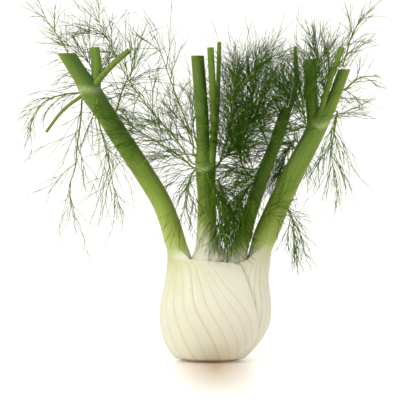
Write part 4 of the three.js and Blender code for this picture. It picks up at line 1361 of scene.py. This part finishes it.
def feather(limbs, frond, number, main, side_stems, needles, sizes, material):
    """One frond from its stem to its hair-fine leaflets, as one piece."""
    chance = np.random.default_rng(1000 + number)
    fullness = frond["fullness"] * sizes.fullness

    def grow(parents, spec, per_stem, low, high=1.0):
        strands = grow_strands(chance, parents, max(1, round(per_stem)), spec, frond, low, high)
        return strands[limbs.off_stalks(strands)]

    main_line = resample(main, 30)[None]
    sides = np.stack([spaced(points, steps=8)[0] for _, points in side_stems])
    threads = np.concatenate(
        [
            np.stack([resample(needle, THREAD["steps"] + 1) for needle in needles]),
            grow(sides, TIP, TIP["per_stem"], 0.93),
            grow(main_line, TIP, 3, 0.96),
            grow(sides, THREAD, THREAD["per_stem"] * fullness, 0.1),
            grow(main_line, THREAD, 2.2 * frond["count"] * fullness, 0.05),
        ]
    )
    forks = grow(threads, FORK, FORK["per_stem"] * min(fullness, 1), 0.2, 0.9)
    thick = sizes.leaflet_thickness / MM / 2
    parts = [
        (main_line, 0.85, 0.35, 5, 0.9),
        (sides, 0.4, 0.25, 4, 0.75),
        (threads, 1.1 * thick, 0.55 * thick, 3, 0.5),
        (forks, 0.9 * thick, 0.5 * thick, 3, 0.45),
    ]
    points, quads, triangles, tints = [], [], [], []
    offset = 0
    for strands, root, tip, corners, tone in parts:
        made = tubes(strands, root, tip, corners)
        points.append(made[0])
        quads.append(made[1] + offset)
        triangles.append(made[2] + offset)
        offset += len(made[0])
        tint = np.clip(tone + chance.normal(0, 0.24, len(strands)), 0, 1)
        tints.append(np.repeat(tint, len(made[0]) // len(strands)))
    tint = np.concatenate(tints)
    cool = np.clip(frond["cool"] + 0.15 * np.sin(np.arange(len(tint)) / 400), 0, 1)
    name = frond["name"] + "_leaflets"
    mesh = mesh_of(
        name, np.concatenate(points), np.concatenate(quads), np.concatenate(triangles), {"tint": tint, "cool": cool}
    )
    return place(name, mesh, material, frond["name"], "frond")


class FennelSizes(bpy.types.PropertyGroup):
    """Sizes a gardener or cook would change."""

    groove_depth: bpy.props.FloatProperty(
        name="Groove depth", description="Depth of the grooves between a sheath's ribs", default=0.0005, unit="LENGTH"
    )
    rib_height: bpy.props.FloatProperty(
        name="Stalk ribs", description="Height of a stalk's ribs, as a share of its half width", default=0.03
    )
    pith_sink: bpy.props.FloatProperty(
        name="Pith sink", description="How far the pith has sunk in a cut end", default=0.0009, unit="LENGTH"
    )
    leaflet_thickness: bpy.props.FloatProperty(
        name="Leaflet thickness", description="Thickness of a leaflet at its root", default=0.00052, unit="LENGTH"
    )
    fullness: bpy.props.FloatProperty(
        name="Fullness", description="How thickly the fronds are set with leaflets", default=1.0, min=0.2, max=1.5
    )


class FennelColours(bpy.types.PropertyGroup):
    """Colours of the flesh, the fronds and the cut root, as sRGB hex."""

    flesh: bpy.props.StringProperty(name="Flesh", description="White flesh of the bulb", default="#d8d3c2")
    neck: bpy.props.StringProperty(name="Neck", description="Where white turns to green", default="#cccda8")
    young: bpy.props.StringProperty(name="Young stalk", description="Foot of the stalks", default="#a4b258")
    stalk: bpy.props.StringProperty(name="Stalk", description="Middle of the stalks", default="#738b2c")
    deep: bpy.props.StringProperty(name="Deep green", description="Top of the stalks", default="#44601a")
    groove: bpy.props.StringProperty(name="Groove", description="Lines between the ribs", default="#b9b892")
    pith: bpy.props.StringProperty(name="Pith", description="Wet pith of a cut end", default="#c4d58a")
    frond: bpy.props.StringProperty(name="Frond", description="Most leaflets", default="#527c16")
    frond_dark: bpy.props.StringProperty(name="Dark frond", description="Darkest leaflets", default="#324f0e")
    frond_light: bpy.props.StringProperty(name="Light frond", description="Palest leaflets", default="#9db238")
    frond_cool: bpy.props.StringProperty(name="Cool frond", description="Blue-green leaflets", default="#447024")
    root: bpy.props.StringProperty(name="Root", description="Cut face of the root", default="#c9a878")
    root_dark: bpy.props.StringProperty(name="Root rings", description="Dried rings of the root", default="#8d6a42")
    root_pale: bpy.props.StringProperty(name="Root fibre", description="Pale fibre of the root", default="#e6d3ab")


class FennelStage(bpy.types.PropertyGroup):
    """The camera, the light and the sweep behind."""

    view_width: bpy.props.FloatProperty(
        name="View width", description="Width of the view at the bulb", default=0.354, unit="LENGTH"
    )
    distance: bpy.props.FloatProperty(
        name="Camera distance", description="From the lens to the bulb", default=2.0, unit="LENGTH"
    )
    elevation: bpy.props.FloatProperty(
        name="Camera elevation", description="How far the camera looks down", default=0.035, subtype="ANGLE"
    )
    key_power: bpy.props.FloatProperty(name="Key light", description="Power of the big soft light", default=15.5)
    sky: bpy.props.FloatProperty(name="Room light", description="Strength of the light all round", default=1.1)
    sweep: bpy.props.StringProperty(name="Sweep", description="Colour of the sweep", default="#eeebe6")
    # The colour of the shade and reflection painted on the board at the bulb's foot
    shade: bpy.props.StringProperty(name="Shade", description="Colour of the shade at the foot", default="#b08850")


def colour_values(group):
    """The colours of a group by name."""
    return {name: getattr(group, name) for name in group.__annotations__}


class FENNEL_OT_root(bpy.types.Operator):
    """Makes the root's trimmed disc"""

    bl_idname = "fennel.root"
    bl_label = "Cut root"

    def execute(self, context):
        colours = colour_values(context.scene.fennel_colours)
        turn = np.linspace(0, 2 * np.pi, 96, endpoint=False)
        uneven = 1 + 0.006 * np.sin(5 * turn + 1) + 0.004 * np.sin(11 * turn)
        profile = np.array([[0.3, 0], [9, 0], *PLATE_PROFILE, [18, 2.4], [0.3, 2.4]])
        rings = np.stack(
            [
                profile[:, :1] * uneven * np.cos(turn),
                profile[:, :1] * uneven * np.sin(turn) * PLATE_DEPTH_SHARE,
                np.repeat(profile[:, 1:], len(turn), axis=1),
            ],
            axis=-1,
        )
        levels, columns = rings.shape[:2]
        quads, tip = loft_faces(levels, columns, False)
        bottom = tip[:, ::-1] - (levels - 1) * columns
        mesh = mesh_of("cut_root_disc", rings.reshape(-1, 3), quads, np.concatenate([tip, bottom]), {})
        place("cut_root_disc", mesh, cut_root(colours), "root_plate", "root_cut")
        return {"FINISHED"}


class FENNEL_OT_leaves(bpy.types.Operator):
    """Grows the four leaves, each from its sheath to its cut stalk ends"""

    bl_idname = "fennel.leaves"
    bl_label = "Leaves"

    def execute(self, context):
        material = fresh_flesh(colour_values(context.scene.fennel_colours))
        for order, leaf in enumerate(LEAVES):
            grow_leaf(leaf, order, context.scene.fennel_sizes, material)
        return {"FINISHED"}


class FENNEL_OT_fronds(bpy.types.Operator):
    """Grows the feathery fronds along the lines of their solids"""

    bl_idname = "fennel.fronds"
    bl_label = "Fronds"

    def execute(self, context):
        sizes = context.scene.fennel_sizes
        material = frond_thread(colour_values(context.scene.fennel_colours))
        limbs = Limbs()
        stems = [grow_stem(limbs, frond, i) for i, frond in enumerate(FRONDS)]
        side_stems = [
            grow_side_stems(limbs, frond, i, stems[i][0], frond["count"], 0, 0.7) for i, frond in enumerate(FRONDS)
        ]
        needles = [grow_needles(limbs, frond, i, side_stems[i]) for i, frond in enumerate(FRONDS)]
        for i, frond in enumerate(FRONDS):
            extra = round(frond["count"] * 1.6 * min(frond["fullness"], 1.2))
            more = grow_side_stems(limbs, frond, i, stems[i][0], extra, 100, 0.35)
            feather(limbs, frond, i, stems[i][1], side_stems[i] + more, needles[i], sizes, material)
        return {"FINISHED"}


class FENNEL_OT_stage(bpy.types.Operator):
    """Sets the camera, the soft light and the sweep"""

    bl_idname = "fennel.stage"
    bl_label = "Stage"

    def execute(self, context):
        scene = context.scene
        stage = scene.fennel_stage
        self.set_camera(scene, stage)
        self.set_sweep(scene, stage)
        self.set_light(scene, stage)
        scene.view_settings.view_transform = "Standard"
        return {"FINISHED"}

    def set_camera(self, scene, stage):
        """A long lens level with the stalks, as the picture was taken."""
        aim = Vector((-0.00885, 0, 0.1425))
        back = Vector((0, -np.cos(stage.elevation), np.sin(stage.elevation)))
        camera = bpy.data.objects.new("camera", bpy.data.cameras.new("camera"))
        camera.data.sensor_width = 36
        camera.data.lens = camera.data.sensor_width * stage.distance / stage.view_width
        camera.location = aim + back * stage.distance
        camera.rotation_euler = (-back).to_track_quat("-Z", "Y").to_euler()
        scene.collection.objects.link(camera)
        scene.camera = camera

    def set_sweep(self, scene, stage):
        """A floor that curves up into a backdrop with no line between them."""
        turn = np.radians(np.linspace(0, 90, 25))
        bend = [[SWEEP["flat"] + SWEEP["bend"] * np.sin(a), SWEEP["bend"] * (1 - np.cos(a))] for a in turn]
        profile = np.array([[-SWEEP["half"], 0], *bend, [SWEEP["flat"] + SWEEP["bend"], SWEEP["half"]]])
        sides = np.array([-SWEEP["half"], SWEEP["half"]])
        points = np.array([[x, y, z] for y, z in profile for x in sides])
        k = np.arange(len(profile) - 1)[:, None] * 2
        sweep = bpy.data.objects.new("sweep", mesh_of("sweep", points, k + np.array([[0, 1, 3, 2]]), np.zeros((0, 3)), {}))
        sweep.data.materials.append(painted_sweep(stage.sweep, stage.shade))
        scene.collection.objects.link(sweep)

    def set_light(self, scene, stage):
        """One big soft light from the front left, and an even white room."""
        world = bpy.data.worlds.new("room")
        world.use_nodes = True
        world.node_tree.nodes["Background"].inputs["Color"].default_value = (1, 1, 1, 1)
        world.node_tree.nodes["Background"].inputs["Strength"].default_value = stage.sky
        scene.world = world
        key = bpy.data.objects.new("key_light", bpy.data.lights.new("key_light", "AREA"))
        key.data.shape = "DISK"
        key.data.size = 0.9
        key.data.energy = stage.key_power
        key.location = (-1.3, -1.2, 1.1)
        key.rotation_euler = (Vector((0, 0, 0.12)) - key.location).to_track_quat("-Z", "Y").to_euler()
        scene.collection.objects.link(key)


class FENNEL_PT_panel(bpy.types.Panel):
    """The fennel's sizes, colours and steps"""

    bl_idname = "FENNEL_PT_panel"
    bl_label = "Fennel bulb"
    bl_space_type = "VIEW_3D"
    bl_region_type = "UI"
    bl_category = "Fennel"

    def draw(self, context):
        for group in (context.scene.fennel_sizes, context.scene.fennel_colours, context.scene.fennel_stage):
            box = self.layout.box()
            for name in group.__annotations__:
                box.prop(group, name)
        for operator in OPERATORS:
            self.layout.operator(operator.bl_idname)


GROUPS = {"fennel_sizes": FennelSizes, "fennel_colours": FennelColours, "fennel_stage": FennelStage}
OPERATORS = (FENNEL_OT_stage, FENNEL_OT_root, FENNEL_OT_leaves, FENNEL_OT_fronds)


def register():
    """Adds the settings, the operators and the panel."""
    for cls in (*GROUPS.values(), *OPERATORS, FENNEL_PT_panel):
        bpy.utils.register_class(cls)
    for name, cls in GROUPS.items():
        setattr(bpy.types.Scene, name, bpy.props.PointerProperty(type=cls))


def unregister():
    """Takes them away again."""
    for name in GROUPS:
        delattr(bpy.types.Scene, name)
    for cls in (FENNEL_PT_panel, *reversed(OPERATORS), *GROUPS.values()):
        bpy.utils.unregister_class(cls)


def main():
    """Makes the whole scene."""
    register()
    bpy.ops.fennel.stage()
    bpy.ops.fennel.root()
    bpy.ops.fennel.leaves()
    bpy.ops.fennel.fronds()
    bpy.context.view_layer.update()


if __name__ == "__main__":
    main()
